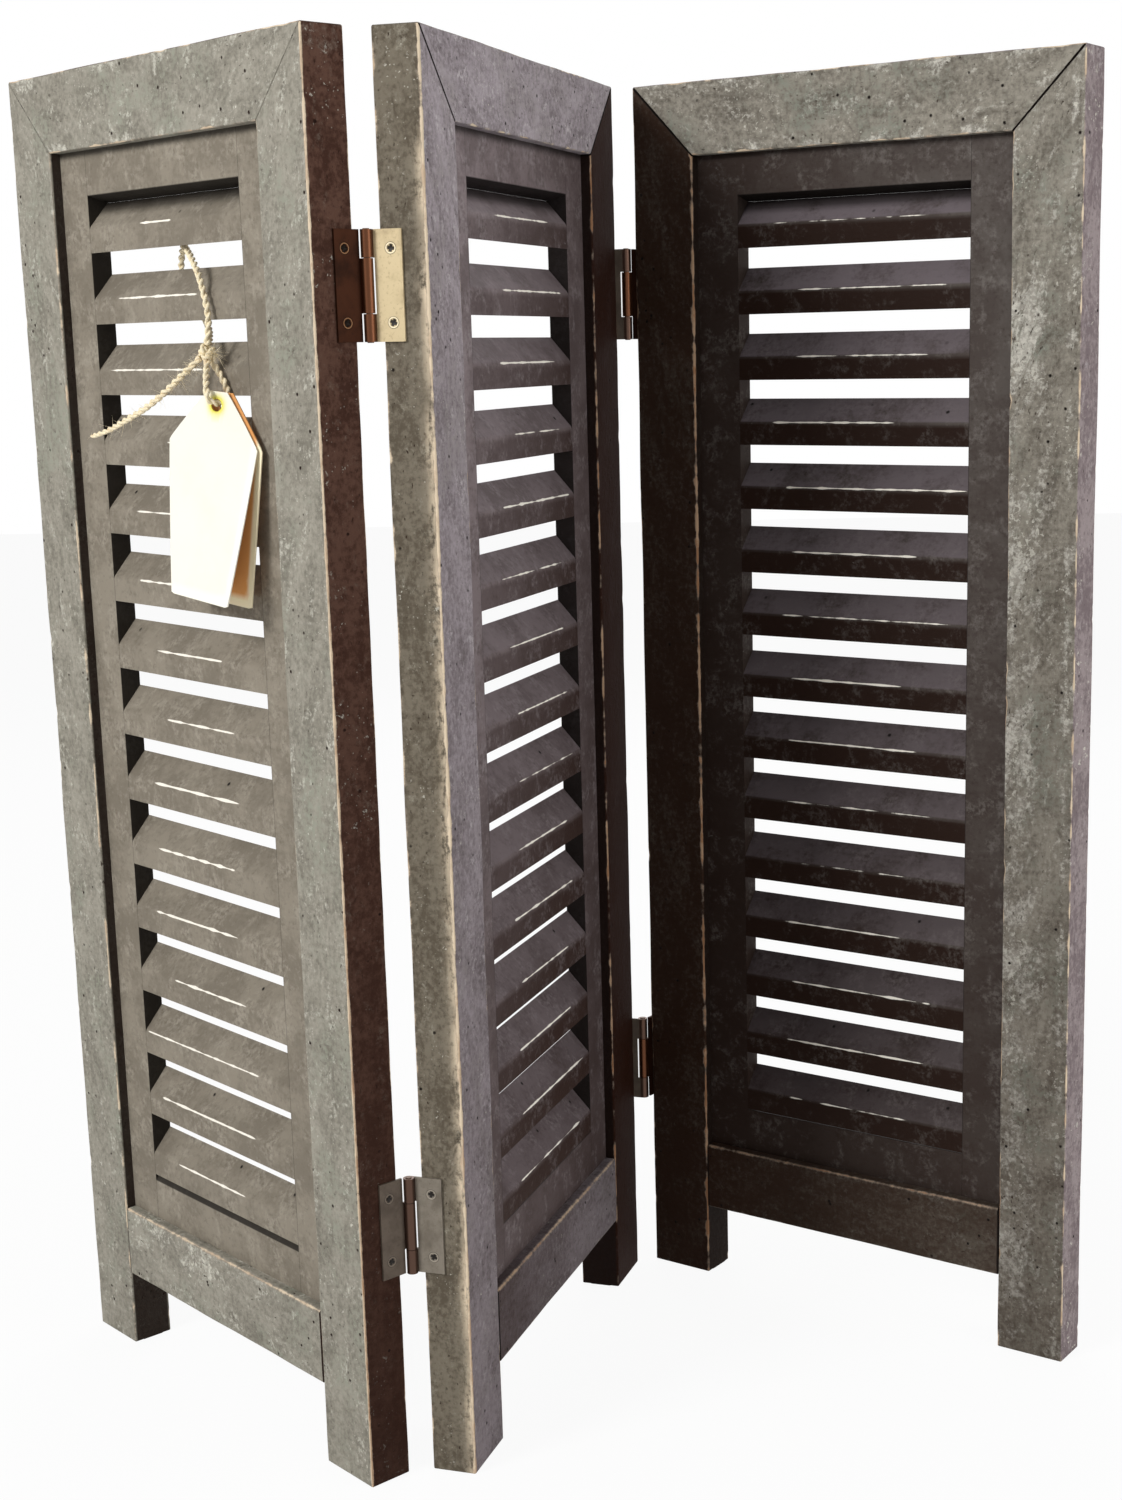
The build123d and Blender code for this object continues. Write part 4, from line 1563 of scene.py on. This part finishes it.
@dataclass
class Twine:
    """The jute twine of the swing tags: its stretches, knot and loose hairs."""

    place: PanelPlace
    diameter: float = 3.0 * MM
    lay_length: float = 8.5 * MM
    slat_loop: Route = field(default_factory=lambda: [
        (181.0, 562.3, 0.2),
        (181.2, 573.5, -2.0),
        (177.0, 587.5, -2.4),
        (164.6, 600.6, -6.0),
        (148.0, 609.0, -11.5),
        (134.5, 611.6, -18.2),
        (127.5, 600.6, -20.2),
        (133.0, 589.5, -18.6),
        (145.0, 579.0, -19.3),
        (157.6, 572.2, -15.6),
        (168.0, 567.0, -9.8),
        (177.0, 561.5, -3.2),
    ])
    tail: Route = field(default_factory=lambda: [
        (176.6, 556.5, 1.5),
        (170.0, 549.0, 7.2),
        (160.4, 540.6, 12.0),
        (148.2, 532.8, 16.2),
        (134.6, 527.2, 19.6),
        (120.6, 521.6, 22.2),
        (106.8, 519.0, 23.6),
    ])
    tag_loop: Route = field(default_factory=lambda: [
        (182.0, 554.6, 1.2),
        (186.6, 547.8, 5.0),
        (191.4, 541.8, 8.4),
        (193.6, 535.4, 9.2),
        (192.6, 534.6, -3.6),
        (190.0, 542.2, -3.8),
        (185.4, 549.2, -3.2),
        (179.6, 554.6, -2.6),
    ])

    def route_line(self, route: Route) -> Array:
        """Read the smooth line of a route from a NURBS curve through its points.

        Args:
            route: across, up and out of the panel, in millimetres.

        Returns:
            Points along the line, in the shared frame.
        """
        curve = bpy.data.curves.new("route", "CURVE")
        curve.dimensions = "3D"
        curve.resolution_u = 10
        spline = curve.splines.new("NURBS")
        spline.points.add(len(route) - 1)
        for point, (across, up, out) in zip(spline.points, route):
            point.co = (*self.place.point(across * MM, out * MM, up * MM), 1)
        spline.order_u = 3
        spline.use_endpoint_u = True
        carrier = bpy.data.objects.new("route", curve)
        mesh = bpy.data.meshes.new_from_object(carrier)
        line = np.zeros(len(mesh.vertices) * 3)
        mesh.vertices.foreach_get("co", line)
        bpy.data.objects.remove(carrier)
        bpy.data.meshes.remove(mesh)
        return line.reshape(-1, 3)

    def strands(self, line: Array, taper: float = 0.0) -> Array:
        """Lay two strands round a line.

        Each strand is a ring carried along the line at a quarter of the
        diameter from it, turned by the distance divided by the lay length, the
        second half a turn behind the first. Its radius swells and thins by an
        uneven wave.

        Args:
            line: the centre line.
            taper: how much thinner the far end is.

        Returns:
            Rings of points for both strands.
        """
        steps = np.linalg.norm(np.diff(line, axis=0), axis=1)
        distance = np.concatenate([[0], np.cumsum(steps)])
        even = np.linspace(0, distance[-1], int(distance[-1] / (0.5 * MM)))
        line = np.stack([np.interp(even, distance, line[:, k]) for k in range(3)], axis=1)
        tangent = np.gradient(line, axis=0)
        tangent /= np.linalg.norm(tangent, axis=1)[:, None]
        guide = np.array([0.31, 0.17, 0.93])
        side = np.cross(tangent, guide)
        side /= np.linalg.norm(side, axis=1)[:, None]
        other = np.cross(tangent, side)
        ring = np.linspace(0, 2 * math.pi, 10, endpoint=False)
        result = []
        for index in range(2):
            phase = 2 * math.pi * even / self.lay_length + math.pi * index
            offset = np.cos(phase)[:, None] * side + np.sin(phase)[:, None] * other
            swell = 1 + 0.10 * ripple(even, 5 * MM, 900 + index)
            thin = 1 - taper * smooth(even / even[-1], 0.6, 1)
            centre = line + offset * self.diameter * 0.26 * thin[:, None]
            radius = self.diameter * 0.31 * swell * thin
            around = np.cos(ring)[None, :, None] * side[:, None]
            around = around + np.sin(ring)[None, :, None] * other[:, None]
            result.append(centre[:, None] + radius[:, None, None] * around)
        return np.stack(result)

    def knot(self) -> bpy.types.Object:
        """Make the knot: twine that follows a trefoil round the ends.

        The line at an angle a is ((2 + cos 3a) cos 2a, (2 + cos 3a) sin 2a,
        sin 3a), pressed to the knot's size.

        Returns:
            The finished knot.
        """
        low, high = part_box("twine_knot")
        middle = np.array((low + high) / 2)
        angle = np.linspace(0, 2 * math.pi, 160)
        reach = 2 + np.cos(3 * angle)
        line = np.stack([
            reach * np.cos(2 * angle) * 1.08 * MM,
            np.sin(3 * angle) * 2.2 * MM,
            reach * np.sin(2 * angle) * 1.05 * MM,
        ], axis=1)
        turned = line @ np.array(Matrix.Rotation(self.place.turn, 3, "Z")).T
        points = self.strands(middle + turned)
        return put_mesh("twine_knot_tied", points, tube_faces(*points.shape[:3]), sharp=80)

    def hairs(self, lines: Batches) -> bpy.types.Object:
        """Scatter loose fibres along the lines.

        Each fibre starts on the twine and bends away from it by the square of
        its own length, as a three-sided tube that thins to its tip.

        Args:
            lines: centre lines, with how many fibres each has and how long.

        Returns:
            All the fibres as one mesh.
        """
        draw = np.random.default_rng(41)
        share = np.linspace(0, 1, 6)
        ring = np.linspace(0, 2 * math.pi, 3, endpoint=False)
        tubes = []
        for line, count, reach in lines:
            start = line[draw.integers(0, len(line), count)]
            away = draw.normal(size=(count, 3))
            away /= np.linalg.norm(away, axis=1)[:, None]
            droop = draw.normal(size=(count, 3)) * 0.5 - np.array([0, 0, 0.3])
            length = reach * draw.uniform(0.35, 1.0, count)
            path = (
                start[:, None]
                + away[:, None] * (share[None, :, None] * length[:, None, None])
                + droop[:, None] * (share[None, :, None] ** 2 * length[:, None, None] * 0.6)
            )
            side = np.cross(away, [0.2, 0.3, 0.9])
            side /= np.linalg.norm(side, axis=1)[:, None]
            other = np.cross(away, side)
            radius = 0.11 * MM * (1 - 0.8 * share)
            around = np.cos(ring)[None, :, None] * side[:, None]
            around = around + np.sin(ring)[None, :, None] * other[:, None]
            tubes.append(path[:, :, None] + radius[None, :, None, None] * around[:, None])
        points = np.concatenate(tubes)
        return put_mesh("twine_hairs", points, tube_faces(*points.shape[:3]), sharp=180)

    def build(self, jute: bpy.types.Material) -> None:
        """Args:
            jute: the twine's finish.
        """
        body = self.place.side.body
        knot = self.knot()
        knot.data.materials.append(jute)
        fit(knot, body, "twine", "twine_knot")
        lines = {
            "twine_slat_loop": self.route_line(self.slat_loop),
            "twine_tail": self.route_line(self.tail),
            "twine_tag_loop": self.route_line(self.tag_loop),
        }
        middle = np.array(knot.data.vertices[0].co)[None]
        hairs = self.hairs([
            (lines["twine_tail"], 60, 6 * MM),
            (lines["twine_tail"][:12], 60, 8 * MM),
            (lines["twine_slat_loop"][:40], 16, 4 * MM),
            (lines["twine_tag_loop"], 14, 4 * MM),
            (middle, 110, 9 * MM),
        ])
        hairs.data.materials.append(jute)
        fit(hairs, body, "twine")
        for name, line in lines.items():
            is_tail = name == "twine_tail"
            points = self.strands(line, 0.25 if is_tail else 0.0)
            cord = put_mesh(f"{name}_strands", points, tube_faces(*points.shape[:3]), sharp=80)
            cord.data.materials.append(jute)
            fit(cord, body, "twine", name)
            length = float(np.linalg.norm(np.diff(line, axis=0), axis=1).sum())


@dataclass
class SwingTag:
    """One blank swing tag: a thin bent card with clipped shoulders and a hole."""

    name: str
    node: str
    origin: Triple
    lean: float
    turn_top: float
    turn_bottom: float
    tip: float
    width: float = 55 * MM
    height: float = 100 * MM
    thickness: float = 0.6 * MM
    top_width: float = 11 * MM
    shoulder: float = 25 * MM
    hole: float = 3.0 * MM
    hole_drop: float = 6.5 * MM
    seat: float = 1.2 * MM
    ring_reach: float = 2.2 * MM
    margin_in: tuple[float, float] = (5 * MM, 3 * MM)

    def sheet_points(self, across: Array, below: Array, lift: Array) -> Array:
        """Bend a flat card into the shared frame.

        The card turns about its own middle line by an angle that runs evenly
        from the top's to the bottom's, leans in the panel's plane and tips out
        of it.

        Args:
            across: distances from the middle line.
            below: distances below the top edge.
            lift: distances out of the card's middle surface.

        Returns:
            Points in the shared frame.
        """
        share = np.clip(below / self.height, 0, 1)
        turn = np.radians(self.turn_top + (self.turn_bottom - self.turn_top) * share)
        x = across * np.cos(turn) + lift * np.sin(turn)
        out = -across * np.sin(turn) + lift * np.cos(turn)
        up = self.hole_drop - self.seat - below
        tip = math.radians(self.tip)
        out, up = out * math.cos(tip) + up * math.sin(tip), up * math.cos(tip) - out * math.sin(tip)
        lean = math.radians(self.lean)
        x, up = x * math.cos(lean) + up * math.sin(lean), up * math.cos(lean) - x * math.sin(lean)
        at = [value * MM for value in self.origin]
        place = PLACES[Side.LEFT]
        return place.row(at[0] + x, -(at[2] + out), at[1] + up)

    def build(self, stock: bpy.types.Material) -> bpy.types.Object:
        """Make the card on a grid of rings round its hole.

        A ring's share s runs from 0 at the hole to 1 at the card's edge, along
        straight rays that are even in angle round the hole and reach the
        outline where it is nearest. The two faces and the two rims close it.

        Args:
            stock: the card's finish.

        Returns:
            The finished card.
        """
        angle = np.linspace(0, 2 * math.pi, 240, endpoint=False)
        direction = np.stack([np.sin(angle), np.cos(angle)], axis=1)
        corners = np.array([
            (-self.top_width / 2, 0), (self.top_width / 2, 0),
            (self.width / 2, -self.shoulder), (self.width / 2, -self.height),
            (-self.width / 2, -self.height), (-self.width / 2, -self.shoulder),
        ]) + np.array([0, self.hole_drop])
        reach = np.full(len(angle), 1.0)
        for start, end in zip(corners, np.roll(corners, -1, axis=0)):
            side = end - start
            cross = direction[:, 0] * side[1] - direction[:, 1] * side[0]
            safe = np.where(np.abs(cross) < 1e-12, 1e-12, cross)
            distance = (start[0] * side[1] - start[1] * side[0]) / safe
            reach = np.where((distance > 0) & (distance < reach), distance, reach)
        share = np.concatenate([[0, 0.02, 0.06], np.linspace(0.12, 1, 26)])
        ray = self.hole + (reach[None] - self.hole) * share[:, None]
        across = ray * direction[:, 0]
        below = self.hole_drop - ray * direction[:, 1]
        half = self.thickness / 2
        front = self.sheet_points(across, below, np.full_like(across, half))
        back = self.sheet_points(across, below, np.full_like(across, -half))
        loop = np.concatenate([front, back[::-1]])
        rings, points = loop.shape[:2]
        index = np.arange(rings * points).reshape(rings, points)
        beside = np.roll(index, -1, axis=1)
        after, beside_after = np.roll(index, -1, axis=0), np.roll(beside, -1, axis=0)
        faces = np.stack([index, beside, beside_after, after], axis=-1).reshape(-1, 4).tolist()
        ring = np.exp(-(((ray - self.hole) / self.ring_reach) ** 2))
        # Painted light on the margins at the side and the foot.
        start, end = self.margin_in
        at_side = smooth(across, self.width / 2 - start, self.width / 2 - end)
        at_foot = smooth(below, self.height - start, self.height - end)
        margin = np.maximum(at_side, at_foot)
        values = {
            "ring": np.concatenate([ring, ring[::-1]]),
            "margin": np.concatenate([margin, margin[::-1]]),
        }
        piece = put_mesh(self.name, loop, faces, values)
        piece.data.materials.append(stock)
        slot = "tag_card" if self.node == "tag_front_card" else "tag_kraft"
        return fit(piece, Side.LEFT.body, slot, self.node)


@dataclass(frozen=True)
class Viewpoint:
    """The photograph's camera, in pixels of its 1122 by 1500 frame."""

    at: Triple = (0.05789, -1.14888, 0.55721)
    yaw: float = 0.1257
    pitch: float = -11.7033
    roll: float = 1.0985
    focal: float = 2182.3
    centre: tuple[float, float] = (664.7, 799.3)
    image: tuple[int, int] = (1122, 1500)
    sensor: float = 36.0

    def make(self) -> None:
        """Create the camera and make it the scene's own."""
        data = bpy.data.cameras.new("viewpoint")
        data.sensor_width = self.sensor
        data.lens = self.focal * self.sensor / self.image[1]
        data.shift_x = (self.image[0] / 2 - self.centre[0]) / self.image[1]
        data.shift_y = (self.centre[1] - self.image[1] / 2) / self.image[1]
        data.clip_start = 0.01
        camera = bpy.data.objects.new("viewpoint", data)
        turned = (
            Matrix.Rotation(math.radians(self.yaw), 4, "Z")
            @ Matrix.Rotation(math.radians(self.pitch), 4, "X")
            @ Matrix.Rotation(math.radians(self.roll), 4, "Y")
            @ Matrix.Rotation(math.radians(90), 4, "X")
        )
        camera.matrix_world = Matrix.Translation(self.at) @ turned
        bpy.context.scene.collection.objects.link(camera)
        bpy.context.scene.camera = camera


def seen_directly(tree: bpy.types.NodeTree) -> Socket:
    """Tell what the camera sees, also by way of metal or glass.

    Args:
        tree: the node tree that gets the test.

    Returns:
        The greatest of the three ray tests: 1 for such a ray, 0 for light.
    """
    path = tree.nodes.new("ShaderNodeLightPath")
    seen = path.outputs["Is Camera Ray"]
    for ray in ("Is Glossy Ray", "Is Transmission Ray"):
        either = tree.nodes.new("ShaderNodeMath")
        either.operation = "MAXIMUM"
        tree.links.new(seen, either.inputs[0])
        tree.links.new(path.outputs[ray], either.inputs[1])
        seen = either.outputs["Value"]
    return seen


@dataclass
class Studio:
    """The pale floor, the white surroundings and three soft lamps."""

    floor_colour: Colour = opaque(0.86, 0.86, 0.86)
    floor_rough: float = 0.9
    floor_white: float = 0.93
    floor_size: float = 6.0
    ambient: float = 0.33
    aim: Triple = (0, 0, 0.35)

    def floor(self) -> None:
        """Lay a pale floor that looks near white but keeps a soft shadow."""
        half = self.floor_size
        corners = np.array([(-half, -half, 0), (half, -half, 0), (half, half, 0), (-half, half, 0)])
        mesh = bpy.data.meshes.new("floor")
        mesh.from_pydata(corners.tolist(), [], [[0, 1, 2, 3]])
        floor = bpy.data.objects.new("floor", mesh)
        bpy.context.scene.collection.objects.link(floor)
        material = bpy.data.materials.new("floor")
        material.use_nodes = True
        nodes, links = material.node_tree.nodes, material.node_tree.links
        surface = nodes["Principled BSDF"]
        surface.inputs["Base Color"].default_value = self.floor_colour
        surface.inputs["Roughness"].default_value = self.floor_rough
        glow = nodes.new("ShaderNodeEmission")
        mixed = nodes.new("ShaderNodeMixShader")
        share = nodes.new("ShaderNodeMath")
        share.operation = "MULTIPLY"
        share.inputs[1].default_value = self.floor_white
        links.new(seen_directly(material.node_tree), share.inputs[0])
        links.new(share.outputs["Value"], mixed.inputs["Fac"])
        links.new(surface.outputs["BSDF"], mixed.inputs[1])
        links.new(glow.outputs["Emission"], mixed.inputs[2])
        links.new(mixed.outputs["Shader"], nodes["Material Output"].inputs["Surface"])
        mesh.materials.append(material)

    def surroundings(self) -> None:
        """Light evenly from all round, and show white to the camera and in metal."""
        world = bpy.data.worlds.new("surroundings")
        bpy.context.scene.world = world
        world.use_nodes = True
        nodes, links = world.node_tree.nodes, world.node_tree.links
        nodes.clear()
        soft = nodes.new("ShaderNodeBackground")
        soft.inputs["Strength"].default_value = self.ambient
        white = nodes.new("ShaderNodeBackground")
        for background in (soft, white):
            background.inputs["Color"].default_value = opaque(1, 1, 1)
        mixed = nodes.new("ShaderNodeMixShader")
        links.new(seen_directly(world.node_tree), mixed.inputs["Fac"])
        links.new(soft.outputs["Background"], mixed.inputs[1])
        links.new(white.outputs["Background"], mixed.inputs[2])
        output = nodes.new("ShaderNodeOutputWorld")
        links.new(mixed.outputs["Shader"], output.inputs["Surface"])

    def lamp(self, name: str, at: Triple, size: float, power: float) -> None:
        """Hang one square soft lamp and aim it at the shutter.

        Args:
            name: the lamp's name.
            at: where it hangs.
            size: its side, in metres.
            power: its power, in watts.
        """
        data = bpy.data.lights.new(name, "AREA")
        data.size = size
        data.energy = power
        lamp = bpy.data.objects.new(name, data)
        lamp.location = at
        towards = Vector(self.aim) - Vector(at)
        lamp.rotation_euler = towards.to_track_quat("-Z", "Y").to_euler()
        bpy.context.scene.collection.objects.link(lamp)

    def build(self) -> None:
        """Set up the studio."""
        self.floor()
        self.surroundings()
        self.lamp("window", (-1.5, -1.3, 1.5), size=0.65, power=34)
        self.lamp("fill", (1.7, -0.9, 1.0), size=1.4, power=17)
        self.lamp("back", (0.2, 1.9, 1.4), size=1.4, power=13)
        bpy.context.scene.view_settings.view_transform = "Standard"


class Shutter:
    """The whole folding shutter."""

    def __init__(self) -> None:
        """Choose the finishes of the three panels."""
        self.frame_paints = {
            Side.LEFT: WornPaint(
                "left_frame_paint",
                deep=opaque(0.175, 0.162, 0.131),
                body=opaque(0.345, 0.322, 0.269),
                chalk=opaque(0.66, 0.635, 0.55),
                patina=opaque(0.27, 0.285, 0.225),
                edge=opaque(0.120, 0.062, 0.044),
                edge_deep=opaque(0.055, 0.024, 0.016),
                edge_pale=opaque(0.26, 0.21, 0.17),
                shade=opaque(0.025, 0.010, 0.006),
                seam=opaque(0.018, 0.0075, 0.005),
            ),
            Side.MIDDLE: WornPaint(
                "middle_frame_paint",
                deep=opaque(0.185, 0.157, 0.164),
                body=opaque(0.42, 0.370, 0.394),
                chalk=opaque(0.64, 0.59, 0.60),
                patina=opaque(0.31, 0.28, 0.27),
                edge=opaque(0.190, 0.164, 0.124),
                edge_deep=opaque(0.105, 0.086, 0.062),
                edge_pale=opaque(0.44, 0.41, 0.33),
                shade=opaque(0.021, 0.0062, 0.0026),
                left_over=0.03,
            ),
            Side.RIGHT: WornPaint(
                "right_frame_paint",
                deep=opaque(0.125, 0.110, 0.089),
                body=opaque(0.335, 0.309, 0.257),
                chalk=opaque(0.64, 0.61, 0.54),
                patina=opaque(0.22, 0.24, 0.195),
                edge=opaque(0.325, 0.272, 0.272),
                edge_deep=opaque(0.19, 0.150, 0.155),
                edge_pale=opaque(0.55, 0.50, 0.50),
                shade=opaque(0.0270, 0.0120, 0.0066),
                chalk_from=0.52,
                speck_from=0.61,
            ),
        }
        self.leaf_paints = {
            Side.LEFT: LeafPaint(
                "left_leaf_paint",
                deep=opaque(0.185, 0.160, 0.125),
                body=opaque(0.252, 0.221, 0.175),
                haze=opaque(0.34, 0.305, 0.250),
                top_light=opaque(0.30, 0.27, 0.225),
                shade=opaque(0.085, 0.066, 0.046),
            ),
            Side.MIDDLE: LeafPaint(
                "middle_leaf_paint",
                deep=opaque(0.175, 0.142, 0.144),
                body=opaque(0.275, 0.226, 0.232),
                haze=opaque(0.33, 0.29, 0.295),
                top_light=opaque(0.24, 0.200, 0.215),
                shade=opaque(0.036, 0.020, 0.016),
            ),
            Side.RIGHT: LeafPaint(
                "right_leaf_paint",
                deep=opaque(0.078, 0.063, 0.056),
                body=opaque(0.108, 0.093, 0.083),
                haze=opaque(0.19, 0.170, 0.155),
                top_light=opaque(0.170, 0.142, 0.155),
                shade=opaque(0.0185, 0.0088, 0.0056),
                rail_shadow=0.3,
            ),
        }

    def battens(self, side: Side) -> list[Batten]:
        """Describe how each batten of a panel's frame is worn.

        Args:
            side: the panel.

        Returns:
            Its two stiles and two rails.
        """
        # dark_start, dark_end and edge_dark give painted shade, partly dark paint: near-black
        # battens by the folds, and feet and edge faces that darken downwards; inner_dark gives
        # painted shade on the inner faces.
        worn: dict[Side, dict[Lay, dict[str, float | tuple[float, float]]]] = {
            Side.LEFT: {
                Lay.LEFT_STILE: dict(
                    front_outer=0.34, front_inner=0.42, joint=0.25, inner_dark=0.9,
                ),
                Lay.RIGHT_STILE: dict(
                    front_outer=0.88, front_inner=0.26, joint=0.2, edge_dark=(0.9, 0.0),
                    steady=0.45,
                ),
                Lay.TOP_RAIL: dict(
                    front_outer=0.30, front_inner=0.42, joint=0.2, flecks=1.1,
                ),
                Lay.BOTTOM_RAIL: dict(
                    front_outer=0.30, front_inner=0.66, edge_stain_and_shade=0.3, chalk=0.8,
                    line_width=1.2 * MM, steady=0.8,
                ),
            },
            Side.MIDDLE: {
                Lay.LEFT_STILE: dict(
                    front_outer=0.80, front_inner=0.30, dark_start=0.50, band=1.0,
                    joint_width=1.0 * MM, line_width=1.0 * MM, steady=0.35,
                ),
                Lay.RIGHT_STILE: dict(
                    front_outer=0.40, front_inner=0.46, dark_start=1.0, dark_end=0.985,
                ),
                Lay.TOP_RAIL: dict(
                    front_outer=0.26, front_inner=0.34, joint_width=1.0 * MM,
                ),
                Lay.BOTTOM_RAIL: dict(
                    front_outer=0.30, front_inner=0.64, dark_start=0.85, dark_end=0.45,
                    edge_stain_and_shade=0.3, line_width=1.2 * MM, steady=0.8,
                ),
            },
            Side.RIGHT: {
                Lay.LEFT_STILE: dict(
                    front_outer=0.25, front_inner=0.70, dark_start=1.0, dark_end=0.975,
                    edge_stain_and_shade=0.0, line_width=0.9 * MM,
                ),
                Lay.RIGHT_STILE: dict(
                    front_outer=0.45, front_inner=0.36, dark_start=0.60, inner_dark=0.5,
                    joint_width=0.8 * MM, chalk=0.9, ridge=0.8,
                ),
                Lay.TOP_RAIL: dict(
                    front_outer=0.34, front_inner=0.45, flecks=1.1,
                ),
                Lay.BOTTOM_RAIL: dict(
                    front_outer=0.22, front_inner=0.60, dark_start=1.0, dark_end=0.85,
                    edge_stain_and_shade=0.0, line_width=1.1 * MM, steady=0.8,
                ),
            },
        }
        seed = 20 * (1 + list(Side).index(side))
        return [
            Batten(PLACES[side], lay, seed + index, **settings)
            for index, (lay, settings) in enumerate(worn[side].items())
        ]

    def leaf(self, side: Side) -> Leaf:
        """Describe how a panel's louvre leaf is worn.

        Args:
            side: the panel.

        Returns:
            Its leaf.
        """
        place = PLACES[side]
        # The darkness of the corners, the wall and the front bands is painted shade, partly darker
        # paint; the share on the slats' upward faces is painted light.
        if side is Side.LEFT:
            return Leaf(
                place, seed=3, line_to=0.74, line_strength=0.85, line_spread=0.07, low_slot=True,
            )
        if side is Side.MIDDLE:
            return Leaf(
                place, seed=5, line_from=0.28, line_to=0.88, line_strength=0.75,
                line_spread=0.05, dark=(0.7, 0.0, 0.85, 0.65), band_shade=0.3, top_light_share=0.3,
            )
        return Leaf(
            place, seed=9, line_to=0.84, line_strength=0.62, line_spread=0.07,
            dark=(0.95, 0.85, 0.7, 0.0), wall_dark=0.15, band_shade=0.75, top_light_share=0.85,
            lowest_slat_light=0.3,
        )

    def build(self) -> None:
        """Build the tags and twine first, then the panels, then the hinges."""
        Twine(PLACES[Side.LEFT]).build(Jute().make())
        cream = CardStock(
            "cream_card",
            face=opaque(0.90, 0.875, 0.77),
            shade=opaque(0.86, 0.79, 0.62),
            ring=opaque(0.80, 0.74, 0.10),
            margin=opaque(0.97, 0.94, 0.83),
        )
        # The back card: its brown face is partly painted shadow of the front card, and its paler
        # margins are painted light.
        shadowed_kraft = CardStock(
            "shadowed_kraft_card",
            face=opaque(0.80, 0.38, 0.13),
            shade=opaque(0.55, 0.24, 0.08),
            ring=opaque(0.45, 0.22, 0.10),
            margin=opaque(0.98, 0.88, 0.62),
        )
        front = SwingTag(
            "tag_front_card_bent", "tag_front_card", origin=(193.5, 535.3, 4.2),
            lean=4, turn_top=23, turn_bottom=-3, tip=-7.5,
        )
        back = SwingTag(
            "tag_back_card_bent", "tag_back_card", origin=(194.6, 534.8, 0.6),
            lean=5, turn_top=11, turn_bottom=5, tip=-3.5,
        )
        front.build(cream.make())
        back.build(shadowed_kraft.make())
        for side in Side:
            paint = self.frame_paints[side].make(PLACES[side])
            for batten in self.battens(side):
                piece = batten.build()
                piece.data.materials.append(paint)
                fit(piece, side.body, f"{side.value}_frame_paint", batten.node)
            self.leaf(side).build(self.leaf_paints[side].make(PLACES[side]))
        self.hinges()

    def hinges(self) -> None:
        """Finish the hinges: copper brown, pale, and two duller greys lower down."""
        grey_barrel = opaque(0.10, 0.058, 0.042)
        copper = DullBrass(
            "browned_brass", bright=opaque(0.034, 0.0105, 0.0040),
            brown=opaque(0.018, 0.006, 0.0027), rim=opaque(0.26, 0.14, 0.07), metal=0.9,
        )
        pale = DullBrass(
            "pale_brass", bright=opaque(0.56, 0.45, 0.265), brown=opaque(0.32, 0.24, 0.13),
            rim=opaque(0.95, 0.86, 0.62), metal=0.3,
        )
        taupe = DullBrass(
            "taupe_brass", bright=opaque(0.115, 0.088, 0.066),
            brown=opaque(0.064, 0.046, 0.033), rim=opaque(0.22, 0.18, 0.14),
            barrel=grey_barrel,
        )
        drab = DullBrass(
            "drab_brass", bright=opaque(0.23, 0.20, 0.16), brown=opaque(0.135, 0.112, 0.085),
            rim=opaque(0.42, 0.37, 0.30), barrel=grey_barrel,
        )
        pin = DullBrass(
            "pin_brass", bright=opaque(0.16, 0.09, 0.055), brown=opaque(0.10, 0.05, 0.028),
            rough=0.3,
        )
        Hinge(Side.LEFT, (copper, pale), (taupe, drab), pin).build()
        Hinge(Side.RIGHT, (copper, taupe), (copper, taupe), pin).build()


def main() -> None:
    """Build the camera, the shutter and the studio."""
    logging.basicConfig(level=logging.INFO, format="%(message)s")
    Viewpoint().make()
    Shutter().build()
    Studio().build()


if __name__ == "__main__":
    main()
